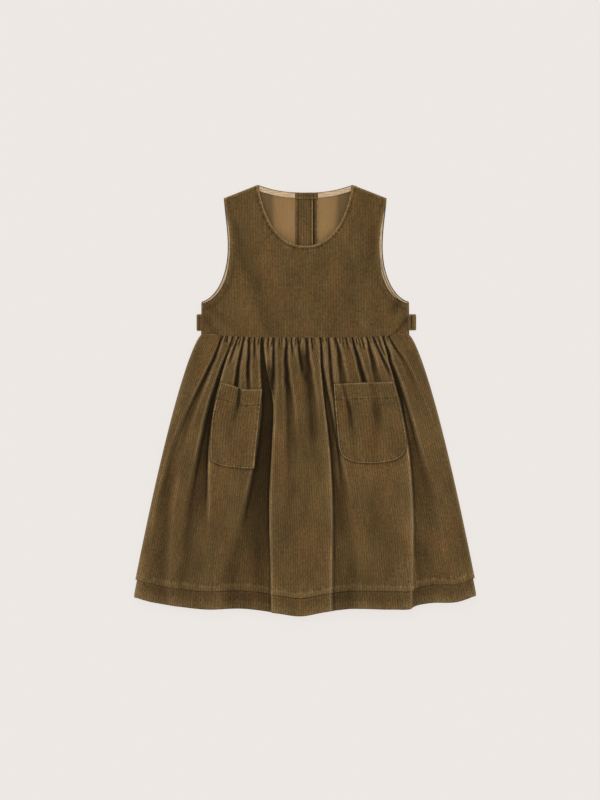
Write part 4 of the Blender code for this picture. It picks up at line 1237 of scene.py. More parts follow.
def bodice_looks(x, y):
    """Wear and painted highlights, painted shade and puckers of the front bodice's cloth."""
    from_neck, neck_station = nearest(NECKLINE, np.abs(x), y)
    # Lighter along the neck, armholes, shoulders, waist and sides: partly wear, partly painted highlight.
    wear_and_highlight = 0.95 * bump(from_neck - 0.9, 1.1)
    seams = [(neck_station * np.sign(x), from_neck - NECK_STITCH, 0.72)]
    shadow = np.zeros_like(x)
    for sign, path in FRONT_ARMHOLES.items():
        distance, station = nearest(path, sign * x, y)
        lower = smoothstep(station / 120.0 - 0.2)
        wear_and_highlight = wear_and_highlight + 0.5 * (1 - lower) * bump(distance - 1.6, 1.3)
        shadow = shadow + 0.6 * lower * bump(distance - 0.3, 1.1)
        shadow = shadow + 0.30 * lower * bump(distance - ARMHOLE_STITCH - 1.6, 2.6)
        seams.append((station, distance - ARMHOLE_STITCH, 0.3))
    uneven = 0.12 + 0.20 * wander(x + 300, 3.1, 23)
    uneven = uneven * smoothstep((x + 124.0) / 14.0)
    wear_and_highlight = wear_and_highlight + 0.75 * bump(shoulder_y(x) - y - 1.2, 1.4) + uneven * bump(y - waist_y(x) - 0.9, 1.2)
    wear_and_highlight = wear_and_highlight + 0.6 * bump(bodice_half(y) - np.abs(x) - 1.3, 1.5) * (y < UNDERARM[1])
    # Painted shade along the armholes and in the creases.
    return cloth_facts(wear_and_highlight, shadow + 0.55 * smoothstep(-creases(x, y, BODICE_CREASES) / 0.7), *seams)


def bodice_front(cloth, wrong_side):
    v = spread((0, 0.012, 5), (0.012, 0.06, 9), (0.06, 0.96, 106), (0.96, 1.0, 8))
    u = spread((0, 0.93 * NECK_SHARE, 52), (0.93 * NECK_SHARE, NECK_SHARE, 6), (NECK_SHARE, 0.94, 24),
               (0.94, 0.985, 6), (0.985, 1.0, 4))
    in_neck = u <= NECK_SHARE
    shoulder = shoulder_line((u[~in_neck] - NECK_SHARE) / (1 - NECK_SHARE))
    top = np.concatenate([front_neck(u[in_neck] / NECK_SHARE), shoulder])
    waist_x = WAIST_HALF * u
    bottom = np.column_stack([waist_x, waist_y(waist_x)])
    centre = np.column_stack([np.zeros(len(v)), np.interp(v, (0, 1), (NECK_FRONT_Y, WAIST_Y))])
    halves = {side: patch(top, bottom, centre, side_line(show, v), u, v) * (side, 1)
              for side, show in BINDING_SHOW.items()}
    plan = np.concatenate([halves[-1][:, ::-1], halves[1][:, 1:]], axis=1)
    x, y = plan[..., 0], plan[..., 1]
    z = np.stack([bodice_surface(a, b) for a, b in zip(x, y)])
    outer = np.dstack([x, y, z])
    grain = grain_map(x * BODICE_GRAIN[0] + BODICE_GRAIN[1] * y, y, "bodice_front")
    piece = shell("bodice_front_shell", outer, outer - (0, 0, CLOTH), grain, [cloth, wrong_side],
                  bodice_looks(x, y))
    dress_piece(piece, "corduroy", "bodice_front")


def bodice_back(name, side, edge, low, cloth, wrong_side):
    v = spread((0, 0.03, 4), (0.03, 1.0, 70))
    u = spread((0, BACK_NECK_SHARE, 34), (BACK_NECK_SHARE, 0.97, 26), (0.97, 1.0, 6))
    in_neck = u <= BACK_NECK_SHARE
    neck_x = edge + (side * SHOULDER_NECK[0] - edge) * u[in_neck] / BACK_NECK_SHARE
    neck = np.column_stack([neck_x, back_neck_y(neck_x)])
    shoulder = shoulder_line((u[~in_neck] - BACK_NECK_SHARE) / (1 - BACK_NECK_SHARE)) * (side, 1)
    top = np.concatenate([neck, shoulder])
    outer_line = side_line(0.0, v) * (side, 1)
    bottom_x = edge + (side * WAIST_HALF - edge) * u
    bottom = np.column_stack([bottom_x, waist_y(bottom_x)])
    free = np.column_stack([np.full(len(v), edge), np.interp(v, (0, 1), (back_neck_y(edge), waist_y(edge)))])
    plan = patch(top, bottom, free, outer_line, u, v)
    x, y = plan[..., 0], plan[..., 1]
    soft = 0.12 * field(x, y, (22.0, 60.0), 41) * smoothstep(np.abs(x) / 60) - 0.12
    outer = np.dstack([x, y, low(x) + CLOTH + soft])
    inner = np.dstack([x, y, low(x)])
    # Painted shade on the wrong side near the neck's sides, and a dark rim at the armhole: partly the brown
    # face of the rolled edge, partly painted shade.
    shade = smoothstep((np.abs(x) - 40.0) / 9.0) * 0.85
    rim = 0.9 * (1 - smoothstep(nearest(ARMHOLE, np.abs(x), y)[0] / 1.2 - 0.6))
    piece = shell(f"{name}_shell", outer, inner, grain_map(x, y, "bodice_back"), [wrong_side, cloth],
                  {"shade": shade, "rim": rim})
    dress_piece(piece, "corduroy_inside", name)


def placket_facing(name, x0, x1, low, open_from, cloth):
    """Strip of corduroy turned in along the opening, with its raised cap at the top and its edge stitched."""
    across = spread((0, 0.06, 3), (0.06, 0.94, 34), (0.94, 1.0, 4))
    down = np.concatenate([np.linspace(0, CAP_DEPTH - 0.6, 8), CAP_DEPTH + np.array([-0.2, 0.2, 1.0]),
                           np.linspace(CAP_DEPTH + 3.0, 202.0, 60)])[:, None]
    x = np.broadcast_to(x0 + (x1 - x0) * across, (len(down), len(across)))
    top_y = back_neck_y(x) - SEAM
    y = top_y - (top_y - waist_y(x) - SEAM) * (down / down[-1])
    under = low(x) + CLOTH + SEAM
    below_cap = down - CAP_DEPTH
    rise = CAP_RISE * (below_cap < 0) * (x > open_from)
    edge = np.minimum(x - x0, x1 - x)
    on_top = x0 < OUTER_EDGE  # the inner half's facing lies over the other
    seam_side = (x - x0) if on_top else (x1 - x)
    z = under + CLOTH + rise + edge_curl(edge, 1.2, 0.7)
    z = z - 0.45 * bump(seam_side - PLACKET_STITCH, 0.8) + pucker(y, edge - 3.0, 3.0, 0.12, 47)
    z = z - 0.3 * bump(below_cap + 1.8, 0.7) * (rise > 0)
    step = smoothstep(below_cap + 0.5)
    # Lighter folded edges (wear and painted highlight); painted shade along the stitching, beside the edges
    # and where the cap and the upper facing step down.
    wear_and_highlight = 0.95 * bump(x1 - x - 0.5, 0.9) * step + 0.5 * bump(x - x0 - 0.5, 0.8)
    wear_and_highlight = wear_and_highlight + 0.5 * bump(below_cap + 0.8, 0.9) + 0.4 * bump(down - 0.8, 0.8)
    painted_shade = 0.4 * bump(below_cap - 0.8, 1.1)
    if on_top:
        lines = 0.9 * bump(seam_side - PLACKET_STITCH, 0.75) + 0.6 * bump(x1 - x - 3.3, 0.7)
        painted_shade = painted_shade + lines * step + 0.5 * bump(x - x0 - 0.1, 0.5)
        wear_and_highlight = wear_and_highlight + 0.10 * (1 - smoothstep(x - x0 - 2.5))
    else:
        painted_shade = painted_shade + 0.95 * (1 - smoothstep((x - INNER_EDGE - 1.9) / 1.1)) * step
    piece = shell(f"{name}_shell", np.dstack([x, y, z]), np.dstack([x, y, under]),
                  grain_map(x + 1.0, y, "facing"), [cloth, cloth],
                  cloth_facts(wear_and_highlight + 0.05, painted_shade, (y, seam_side - PLACKET_STITCH, 0.12)))
    dress_piece(piece, "corduroy", name)


def tape(name, path, inward, low, material, seed, rim=BINDING_RIM, crease=0.0, dim=0.0):
    """Binding along an edge: two folded edges, a stitched middle and slanting puckers.

    crease is the painted shade of its fold along the lower half, and dim an even darkening all along it.
    """
    across = spread((0, 0.08, 3), (0.08, 0.92, 14), (0.92, 1.0, 3))
    station = lengths(path)
    offset = rim + BINDING_WIDTH * across
    xy = path[None] + inward[None] * offset[:, None, None]
    edge = np.minimum(across, 1 - across) * BINDING_WIDTH
    s, d = station[None, :], (BINDING_WIDTH * across)[:, None]
    slant = 0.13 * np.sin(2 * np.pi * ((s + 1.4 * d) / 7.3 + 0.5 * wander(s, 19.0, seed)))
    thick = BINDING + edge_curl(edge, 0.9, 0.55)[:, None] + slant * rounded(edge, 2.5)[:, None]
    thick = thick - 0.25 * bump(d - BINDING_WIDTH + 1.2, 0.5)
    base = low(xy[..., 0])
    grain = grain_map(*np.broadcast_arrays(s, d), "binding")
    shares = smoothstep((s / station[-1] - 0.45) / 0.15) * (1 - smoothstep((s / station[-1] - 0.9) / 0.1))
    # Painted shade along both folded edges and along the fold, plus the even darkening of dim.
    dark = 0.4 * bump(edge, 0.3)[:, None] + crease * bump(d - 2.4, 0.75) * shares + dim
    piece = shell(f"{name}_shell", np.dstack([xy, base + thick]), np.dstack([xy, base]), grain,
                  [material, material], {"edge": np.clip(np.broadcast_to(dark, base.shape), 0, 1)})
    dress_piece(piece, "binding", name)


def neck_binding(name, x0, x1, low, material):
    x = np.linspace(x0, x1, 70)
    path = np.column_stack([x, back_neck_y(x)])
    inward = np.tile((0.0, -1.0), (len(x), 1))
    tape(name, path, inward, lambda at: low(at) + CLOTH + SEAM, material, 53)


def armhole_binding(name, side, material):
    fine = along(ARMHOLE[slice(*BINDING_ENDS)], np.linspace(0, 1, 110))
    tape(name, fine * (side, 1), inward_of(fine) * (side, 1), lambda at: np.full_like(at, CLOTH + SEAM),
         material, 57, rim=BINDING_INSET, crease=1.0 if side > 0 else 0.15, dim=0.02)


# Skirt ------------------------------------------------------------------------------------------------------

SKIRT_LENGTH = 380.0
SIDE_STRIP = 8.0  # width of the finer columns along each side
# Columns between the features, from left to right
SKIRT_SPANS = (8, 46, 8, 10, 6, 50, 8, 20, 6, 100, 6, 10, 8, 96, 6, 10, 8, 34, 8)
# Depths of the rows above the tuck; the first two rows turn in under the bodice
SKIRT_DEPTHS = np.concatenate([[0, 0, 0, 0.6, 1.3, 2.2, 3.2, 4.6, 6.2], np.arange(8.0, 40, 2.0),
                               np.arange(41.5, 334, 2.5)])
# Rows of tuck and hem: rise above the hem's edge, and height of the folded cloth there
TUCK_ROWS = (
    (44.0, 0.0), (41.0, 0.0), (38.6, 0.0), (36.8, 0.0), (TUCK_STITCH + 0.6, 0.0), (TUCK_STITCH, 0.25),
    (TUCK_STITCH - 0.9, 1.2), (33.0, 1.7), (31.2, 1.85), (29.4, 1.95), (27.8, 2.0), (26.6, 1.95),
    (TUCK_FOLD + 0.25, 1.7), (TUCK_FOLD, 1.3), (TUCK_FOLD + 0.35, 1.0), (TUCK_FOLD + 1.2, 0.8),
    (TUCK_FOLD + LIP_UNDERCUT, 0.45), (TUCK_FOLD + LIP_UNDERCUT + 0.3, 0.1), (TUCK_FOLD + 1.2, 0.0),
    (TUCK_FOLD - 0.4, 0.0), (24.0, 0.0), (22.0, 0.0), (19.6, 0.0), (17.2, 0.0), (14.8, 0.0), (12.8, 0.1),
    (11.4, 0.35), (HEM_STITCH + 0.5, 0.4), (HEM_STITCH, 0.3), (HEM_STITCH - 0.6, 0.45), (8.4, 0.65),
    (6.6, 0.65), (4.8, 0.65), (3.0, 0.6), (1.6, 0.5), (0.7, 0.25), (0.2, -0.1), (0.0, -0.5),
)
FOLD_ROW = len(SKIRT_DEPTHS) + [rise for rise, _ in TUCK_ROWS].index(TUCK_FOLD)
INNER_TUCK_ROWS = (1, 4, 7, 10, 20, 22, 24, 27, 31, 34)  # of TUCK_ROWS, that the inner surface has too
BACK_TUCK_RISES = (40.0, TUCK_STITCH, 31.0, 27.5, TUCK_FOLD + 0.3, TUCK_FOLD - 0.3, 22.0, 16.0,
                   HEM_STITCH + 1, HEM_STITCH - 1, 6.0, 3.0, 1.2, 0.4, 0.0)


def fold_line(fold, side, share):
    """x of a fold's foot on one side, or of its brink with a share of 1, as a function of the depth."""
    def line(depth):
        foot, run = fold_at(fold, depth, f"{side}_foot", f"{side}_run")
        return foot + share * run
    return line


def skirt_features():
    """x of the side edges and of the folds' feet and brinks, as functions of the depth below the waist."""
    lines = [lambda d: -skirt_half(d), lambda d: SIDE_STRIP - skirt_half(d)]
    for fold in PLEATS.values():
        lines += [fold_line(fold, side, share) for side, share in (("left", -1), ("left", 0), ("right", 0),
                                                                   ("right", 1))]
    return lines + [lambda d: skirt_half(d) - SIDE_STRIP, skirt_half]


def skirt_row(share, rise, hem_x, lines):
    """x and y of one row of the front skirt."""
    numbers = np.concatenate([[0], np.cumsum(SKIRT_SPANS)])
    columns = np.arange(numbers[-1] + 1)
    top_x = np.array([line(-WAIST_RISE) for line in lines])
    y_line = (1 - share) * waist_y(top_x) + share * (hem_y(hem_x) + rise)
    line_x = np.array([line(WAIST_Y - y) for line, y in zip(lines, y_line)])
    x = np.interp(columns, numbers, line_x)
    top, hem = np.interp(columns, numbers, top_x), np.interp(columns, numbers, hem_x)
    y = (1 - share) * waist_y(top) + share * (hem_y(hem) + rise) - SEAM * (share == 0)
    return x, y


def skirt_grids():
    """Rows of the front skirt: its surface, that without tuck and hem, height above the hem, and plan x.

    Plan x is that before the brinks lean and the band below the tuck is drawn in.
    """
    lines = skirt_features()
    hem_x = np.array([line(0.0) for line in lines])
    for _ in range(4):
        hem_x = np.array([line(WAIST_Y - hem_y(x)) for line, x in zip(lines, hem_x)])
    rows = [(d / SKIRT_LENGTH, 0.0, 0.0) for d in SKIRT_DEPTHS] + [(1.0, *row) for row in TUCK_ROWS]
    outer, plain, above_hem, plan_x = [], [], [], []
    for number, (share, rise, lift) in enumerate(rows):
        x, y = skirt_row(share, rise, hem_x, lines)
        plan_x.append(x)
        above = y - hem_y(x) if share < 1 else np.full(len(x), rise)
        z = skirt_surface(x, y, above) + hem_ripple(x, above)
        if number < 2:
            y = waist_y(x) + (2.4, -0.15)[number]
            z = np.minimum(z, bodice_surface(x, waist_y(x) + 0.1) - CLOTH - 0.25)
        shifted = x + skirt_lean(x, np.maximum(WAIST_Y - y, 0))
        inset = HEM_INSET + 1.8 * (1 - rounded(above, 6.0))
        shifted = shifted * (1 - inset / skirt_half(FLARE_LENGTH) * (number > FOLD_ROW))
        plain.append(np.column_stack([shifted, y, z]))
        outer.append(np.column_stack([shifted, y, z + lift]))
        above_hem.append(above)
    return [np.array(grid) for grid in (outer, plain, above_hem, plan_x)]


def skirt_inside(outer, plain, above_hem, plan_x, kept):
    """Inner surface of the front skirt at the kept rows and columns, clear of the back skirt."""
    inner, above, level, height = (grid[kept] for grid in (plain, above_hem, plan_x, outer[..., 2]))
    wall = CLOTH * (1 + (above <= HEM_TURN))
    # the hem is drawn in from the sides, and its back lies flat under it
    level = level + (inner[..., 0] - level) * smoothstep((above - 6.0) / 5.0)
    lowest = back_top(level, inner[..., 1])
    inner[..., 2] = np.minimum(np.maximum(inner[..., 2] - wall, lowest), height - 0.5)
    inner[:, (0, -1), 2] = np.minimum(inner[:, (0, -1), 2], SIDE_SEAM)
    return inner


def skirt_grain(plain):
    """Place in the front skirt's cloth, measured over the folds, with all rows as wide as the hem."""
    arc = np.linalg.norm(np.diff(plain[..., [0, 2]], axis=1), axis=2).cumsum(axis=1)
    arc = np.concatenate([np.zeros((len(arc), 1)), arc], axis=1)
    centred = arc - arc[:, -1:] / 2
    return grain_map(softened(centred / (arc[:, -1:] / arc[-1, -1]), 3), plain[..., 1], "skirt_front")


def skirt_looks(outer, plain, above_hem, plan_x):
    """Wear and painted highlights, painted shade and puckers of the front skirt's cloth."""
    near = relief(plan_x, plain[..., 2], 2.6)
    depth = WAIST_Y - outer[..., 1]
    side = skirt_half(depth) - np.abs(plan_x)
    inside = smoothstep(side / 9)
    sunk = sunk_share(plan_x, outer[..., 1])
    # Painted shade in the troughs of the folds and in low places of the cloth.
    painted_shade = inside * (smoothstep((sunk - 0.05) / 1.15) + 0.5 * smoothstep((-near - 0.15) / 1.3))
    depth = np.maximum(depth, 0)
    # Lighter on crests, brinks, the sides and bands of tuck and hem: partly wear, partly painted highlight.
    wear_and_highlight = (0.5 + 0.35 * np.exp(-depth / 40.0)) * inside * smoothstep((near - 0.22) / 1.0)
    wear_and_highlight = wear_and_highlight * (1 - smoothstep((sunk - 0.3) / 0.3)) + brink_shine(plan_x, depth)
    wear_and_highlight = wear_and_highlight + 0.15 * bump(above_hem - TUCK_FOLD - 0.4, 1.0) + 0.25 * bump(above_hem - 2.0, 1.4)
    wear_and_highlight = wear_and_highlight + 0.5 * bump(side - 1.6, 1.5)
    wear_and_highlight = wear_and_highlight + 0.20 * bump(above_hem - 31.0, 4.0) + 0.20 * bump(above_hem - 5, 4.0)
    wear_and_highlight = wear_and_highlight + 0.30 * bump(above_hem - TUCK_STITCH + 1.6, 1.1) + 0.2 * bump(above_hem - HEM_STITCH, 0.9)
    wear_and_highlight = wear_and_highlight + 0.04 * smoothstep((np.abs(plan_x) - 90.0) / 60.0)
    # Painted shadow under the tuck's fold and along the hem's edge, and darker in the upper part of the band
    # below the tuck.
    under_tuck = np.arange(len(outer))[:, None] > FOLD_ROW
    fold_shade = (0.62 + 0.25 * wander(plan_x + 300, 21.0, 67)) * (1 - 0.7 * bump(plan_x - 160.0, 13.0))
    painted_shade = painted_shade + under_tuck * (0.04 + fold_shade * smoothstep((above_hem - 24.1) / 1.2))
    painted_shade = painted_shade + 0.45 * bump(above_hem, 0.7) + 0.10 * bump(above_hem - 17.0, 6.0)
    # Painted shadow around each pocket's sides and bottom.
    for edges in POCKETS.values():
        border = np.concatenate([edges["left"], edges["bottom"][1:], edges["right"][::-1][1:]])
        painted_shade = painted_shade + 0.75 * bump(nearest(border, outer[..., 0], outer[..., 1])[0], 2.2)
    # Painted shadow just outside the right pocket's left edge.
    pocket_shadow_edge = np.array(POCKETS["pocket_right"]["left"]) - (0.9, 0.0)
    painted_shade = painted_shade + 0.6 * bump(nearest(pocket_shadow_edge, outer[..., 0], outer[..., 1])[0], 1.1)
    return cloth_facts(wear_and_highlight, painted_shade, (plan_x, above_hem - TUCK_STITCH + 1.5, 0.55),
                       (plan_x, above_hem - HEM_STITCH, 0.35))


def skirt_front(cloth, wrong_side):
    grids = skirt_grids()
    outer, plain = grids[:2]
    upper = len(SKIRT_DEPTHS)
    rows = [*range(0, upper, 2), *(upper + k for k in INNER_TUCK_ROWS), len(outer) - 1]
    columns = np.arange(0, outer.shape[1], 2)
    inner = skirt_inside(*grids, np.ix_(rows, columns))
    piece = shell("skirt_front_shell", outer, inner, skirt_grain(plain), [cloth, wrong_side],
                  skirt_looks(*grids), rows, columns)
    dress_piece(piece, "corduroy", "skirt_front")


def skirt_back(cloth, wrong_side):
    u = np.linspace(-1, 1, BACK_GATHERS * 10 + 1)
    phase = (u + 1) / 2 * BACK_GATHERS % 1
    rows = [(d / SKIRT_LENGTH, 0.0) for d in (0, 1, 3, 6, *range(10, 340, 6))]
    rows += [(1.0, rise) for rise in BACK_TUCK_RISES]
    waist, hem = waist_y(u * WAIST_HALF), hem_y(u * skirt_half(FLARE_LENGTH))
    outer, inner = [], []
    for share, rise in rows:
        y = (1 - share) * waist + share * (hem + rise + BACK_HEM_SHORT) - SEAM * (share == 0)
        x = u * (skirt_half(WAIST_Y - y) - BACK_INSET - HEM_INSET * (share == 1) * (rise < TUCK_FOLD))
        above = y - hem_y(x) if share < 1 else np.full(len(x), rise)
        low = back_low(x, y, above, phase)
        outer.append(np.column_stack([x, y, low + CLOTH - 0.05]))
        inner.append(np.column_stack([x, y, low]))
    outer, inner = np.array(outer), np.array(inner)
    grain = grain_map(np.broadcast_to(u * 250.0, outer.shape[:2]), outer[..., 1], "skirt_back")
    piece = shell("skirt_back_shell", outer, inner, grain, [wrong_side, cloth])
    dress_piece(piece, "corduroy", "skirt_back")


def pocket_surface(name, x, y, top_y):
    """Inner and outer surface of a pocket: over the skirt's folds, with its own creases and hem."""
    above_hem = y - hem_y(x)
    spanned = [skirt_surface(x + reach, y, above_hem, gathered=False)
               for reach in (-POCKET_SPAN, 0, POCKET_SPAN)]
    ground = np.max(spanned, axis=0) + SEAM + POCKET_LIFT
    hem = POCKET_HEM_RISE * (1 - smoothstep((top_y - y - POCKET_HEM + 2) / 3))
    return ground, ground + CLOTH + hem + creases(x, y, POCKET_CREASES[name])


def pocket(name, edges, cloth):
    u = spread((0, 0.03, 5), (0.03, 0.97, 54), (0.97, 1.0, 5))
    v = spread((0, 0.02, 4), (0.02, 0.16, 9), (0.16, 0.24, 8), (0.24, 0.97, 44), (0.97, 1.0, 5))
    top, bottom = along(edges["top"], u, smooth=True), along(edges["bottom"], u, smooth=True)
    left, right = along(edges["left"], v, smooth=True), along(edges["right"], v, smooth=True)
    plan = patch(top, bottom, left, right, u, v)
    x, y = plan[..., 0], plan[..., 1]
    top_y = np.broadcast_to(plan[0, :, 1], x.shape)
    ground, z = np.array([pocket_surface(name, *row) for row in zip(x, y, top_y)]).swapaxes(0, 1)
    sides = np.concatenate([left, bottom[1:], right[::-1][1:]])
    from_edge, station = nearest(sides, x, y)
    from_top = top_y - y
    z = z + edge_curl(from_edge, 1.6, 1.1) + edge_curl(from_top, 1.4, 0.8)
    z = z + stitched(from_edge - POCKET_STITCH, station, 71, 0.14, depth=0.35, reach=2.6)
    z = z - 0.45 * bump(from_top - POCKET_HEM, 0.9) + pucker(x, from_top - POCKET_HEM, 2.8, 0.14, 73)
    z = z + 0.14 * field(x, y, (13.0, 26.0), 75)
    z = z + 0.5 * bump(from_top, 7.0) * smoothstep(from_edge / 14.0)
    outer = np.dstack([x, y, z])
    inner = np.dstack([x, y, np.minimum(ground, z - 0.5)])
    grain = grain_map(np.broadcast_to(u * lengths(top)[-1], x.shape), y, "pocket")
    # Lighter edges: partly wear, partly painted highlight; painted shade in the creases.
    wear_and_highlight = 0.04 + 0.85 * bump(from_edge - 0.8, 0.9) + 0.85 * bump(from_top - 0.7, 0.9)
    wear_and_highlight = wear_and_highlight + 0.2 * bump(from_top - POCKET_HEM + 1.5, 1.2)
    painted_shade = 0.9 * smoothstep(-creases(x, y, POCKET_CREASES[name]) / 1.6)
    facts = cloth_facts(wear_and_highlight, painted_shade, (station, from_edge - POCKET_STITCH, 0.55),
                        (x, from_top - POCKET_HEM, 0.7))
    piece = shell(f"{name}_shell", outer, inner, grain, [cloth, cloth], facts)
    dress_piece(piece, "corduroy", name)
    *flat, area = POCKET_FLAT[name]
    tuple(flat)
    return outer, from_edge, from_top


# Small parts ------------------------------------------------------------------------------------------------


def ring_points(x0, x1, low, high, corner):
    """Points round a rectangle with rounded corners, from the middle of its top."""
    turn = np.linspace(0, np.pi / 2, 7)
    arcs = []
    for cx, cy, start in ((x1 - corner, high - corner, np.pi / 2), (x1 - corner, low + corner, 0.0),
                          (x0 + corner, low + corner, -np.pi / 2), (x0 + corner, high - corner, np.pi)):
        angle = start - turn
        arcs.append(np.column_stack([cx + corner * np.cos(angle), cy + corner * np.sin(angle)]))
    middle = [((x0 + x1) / 2, high)]
    return along(np.concatenate([middle, *arcs, middle]), np.linspace(0, 1, LOOP_STEPS, endpoint=False))


LOOP_STEPS = 96  # points along the ring
LOOP_SIDES = 32  # points round its strip


def squared(wave):
    """Share from 0 to 1 of a wave from -1 to 1, made nearly square."""
    return 0.5 + 0.5 * np.sign(wave) * np.abs(wave) ** 0.45


def belt_loop(name, side, seam, slot, reach, y, cloth):
    """A folded strip that leaves the side seam, runs down beside it and comes back, its edges rounded."""
    bottom, top = y
    outer = ring_points(seam - 1.8, reach, bottom, top, 1.6)
    inner = ring_points(*slot, bottom + LOOP_ARM, top - LOOP_ARM, 0.45)
    ring = np.linspace(0, 2 * np.pi, LOOP_SIDES, endpoint=False)
    across, up = squared(np.cos(ring)), squared(np.sin(ring))
    across = np.where(across < 0.1, across - 0.14, across)
    xy = inner[:, None] + (outer - inner)[:, None] * across[None, :, None]
    xy = xy + LOOP_LEAN * ((1 - np.clip(across, 0, 1)) * (1 - up))[None, :, None] * (1.0, 0.0)
    crease = 0.7 * bump(across - 0.55, 0.09) * (up > 0.9)
    station = np.broadcast_to(lengths(outer)[:, None], xy.shape[:2])
    z = LOOP_HEIGHT * up[None, :] - crease[None, :] + 0.25 * up[None, :] * wander(station, 5.0, 81)
    points = np.dstack([xy[..., 0] * side, xy[..., 1], np.maximum(z, 0)])
    number = np.pad(np.arange(LOOP_STEPS * LOOP_SIDES).reshape(LOOP_STEPS, LOOP_SIDES), (0, 1), mode="wrap")
    grain = grain_map(z + 6 * across[None, :], station, "belt_loop").reshape(-1, 3)
    from_top = top - xy[..., 1]
    # Painted highlight on the strip's top, brightest on its upper arm; painted shade in the slot beside the
    # dress.
    lit = 0.35 + 0.5 * (1 - smoothstep((from_top - LOOP_ARM) / 1.5))
    wear_and_highlight = (lit * (bump(up - 1, 0.2) * (1 - 0.8 * bump(across - 0.55, 0.1)))[None, :]).ravel()
    deep_shade = smoothstep((0.45 - across) / 0.3)[None, :] * (1 - 0.9 * up[None, :])
    painted_shade = np.broadcast_to(0.97 * smoothstep(deep_shade / 0.35), z.shape).ravel()
    piece = mesh_object(f"{name}_strip", points.reshape(-1, 3), grid_faces(number), [cloth], None,
                        {"grain": grain, "wear_and_highlight": wear_and_highlight, "painted_shade": painted_shade})
    dress_piece(piece, "corduroy", name)


BUTTON_X = (OUTER_EDGE + INNER_EDGE) / 2
# radius and height from the middle of the outside, round the edge, to the middle of the back
BUTTON_PROFILE = ((0.0, 0.62), (2.6, 0.60), (3.3, 0.50), (3.8, 0.16), (4.3, 0.02), (4.9, 0.03), (5.3, 0.22),
                  (BUTTON_RADIUS, 0.62), (BUTTON_RADIUS, 1.2), (5.35, 1.6), (4.9, 1.9), (4.3, BUTTON_THICK),
                  (0.0, BUTTON_THICK))
BUTTON_STEPS = 48
HOLE_AWAY = 1.25  # of each of the four holes from the middle, in X and Y
HOLE_RADIUS = 0.62
BUTTON_SHARP_ANGLE = 40


def button(number, y, plastic, twine):
    """A turned four-hole button under the overlap, with its thread."""
    name = f"button_{number}"
    bm = bmesh.new()
    turns = np.linspace(0, 2 * np.pi, BUTTON_STEPS, endpoint=False)
    rings = []
    for radius, height in BUTTON_PROFILE:
        rings.append([bm.verts.new(((BUTTON_X + radius * np.cos(t)) * MM, (y + radius * np.sin(t)) * MM,
                                    height * MM)) for t in (turns if radius else turns[:1])])
    for a, b in zip(rings, rings[1:]):
        for k in range(BUTTON_STEPS):
            m = (k + 1) % BUTTON_STEPS
            corners = (a[k % len(a)], b[k % len(b)], b[m % len(b)], a[m % len(a)])
            bm.faces.new(dict.fromkeys(corners))
    bmesh.ops.recalc_face_normals(bm, faces=bm.faces)
    mesh = bpy.data.meshes.new(f"{name}_turned")
    bm.to_mesh(mesh)
    bm.free()
    mesh.materials.append(plastic)
    body = new_object(f"{name}_turned", mesh)
    holes = bmesh.new()
    for dx in (-HOLE_AWAY, HOLE_AWAY):
        for dy in (-HOLE_AWAY, HOLE_AWAY):
            made = bmesh.ops.create_cone(holes, cap_ends=True, segments=16, radius1=HOLE_RADIUS * MM,
                                         radius2=HOLE_RADIUS * MM, depth=4 * MM)
            bmesh.ops.translate(holes, verts=made["verts"], vec=((BUTTON_X + dx) * MM, (y + dy) * MM, MM))
    cutter_mesh = bpy.data.meshes.new(f"{name}_cutter")
    holes.to_mesh(cutter_mesh)
    holes.free()
    cutter = new_object(f"{name}_cutter", cutter_mesh)
    cut = body.modifiers.new("holes", "BOOLEAN")
    cut.object = cutter
    graph = bpy.context.evaluated_depsgraph_get()
    finished = bpy.data.meshes.new_from_object(body.evaluated_get(graph))
    body.modifiers.clear()
    body.data = finished
    bpy.data.objects.remove(cutter)
    finished.shade_smooth()
    finished.set_sharp_from_angle(angle=np.radians(BUTTON_SHARP_ANGLE))
    dress_piece(body, "button", name)
    over = np.linspace(0, np.pi, 9)
    crossing = [np.column_stack([np.full(9, BUTTON_X + dx), y + HOLE_AWAY * np.cos(over),
                                 0.55 - 0.42 * np.sin(over)]) for dx in (-HOLE_AWAY, HOLE_AWAY)]
    stitches(f"{name}_thread", crossing, "corduroy", twine, pitch=3.0, length=2.9, radius=0.3)


def lifted(surface, xy):
    """3-D path over a surface function, raised a little."""
    x, y = np.asarray(xy, float).T
    return np.column_stack([x, y, surface(x, y) + STITCH_LIFT])


def bodice_stitching(twine):
    paths = []
    for side, armhole_path in FRONT_ARMHOLES.items():
        neck = NECKLINE + NECK_STITCH * inward_of(NECKLINE)
        arm = (armhole_path + ARMHOLE_STITCH * inward_of(armhole_path))[2:]
        paths += [lifted(bodice_surface, path * (side, 1)) for path in (neck, arm)]
    stitches("bodice_topstitching", paths, "corduroy", twine)


def skirt_stitching(twine):
    paths = []
    for rise, lift in ((HEM_STITCH, 0.26), (TUCK_STITCH - 0.6, 1.0)):
        x = np.linspace(-236.0, 236.0, 500)
        y = hem_y(x) + rise
        z = skirt_surface(x, y, np.full(len(x), rise)) + hem_ripple(x, rise)
        shift = skirt_lean(x, WAIST_Y - y)
        inset = HEM_INSET / skirt_half(FLARE_LENGTH) * (rise < TUCK_FOLD)
        paths.append(np.column_stack([(x + shift) * (1 - inset), y, z + lift]))
    stitches("hem_topstitching", paths, "corduroy", twine)


def grid_path(outer, value, at, rows, columns):
    """Points just over a grid where a value crosses a level, one for each row or column asked for."""
    found = []
    for r, c in zip(rows, columns):
        line, level = outer[r, c], value[r, c]
        order = np.argsort(level)
        found.append([np.interp(at, level[order], line[order, k]) for k in range(3)])
    return np.array(found) + (0, 0, STITCH_LIFT)


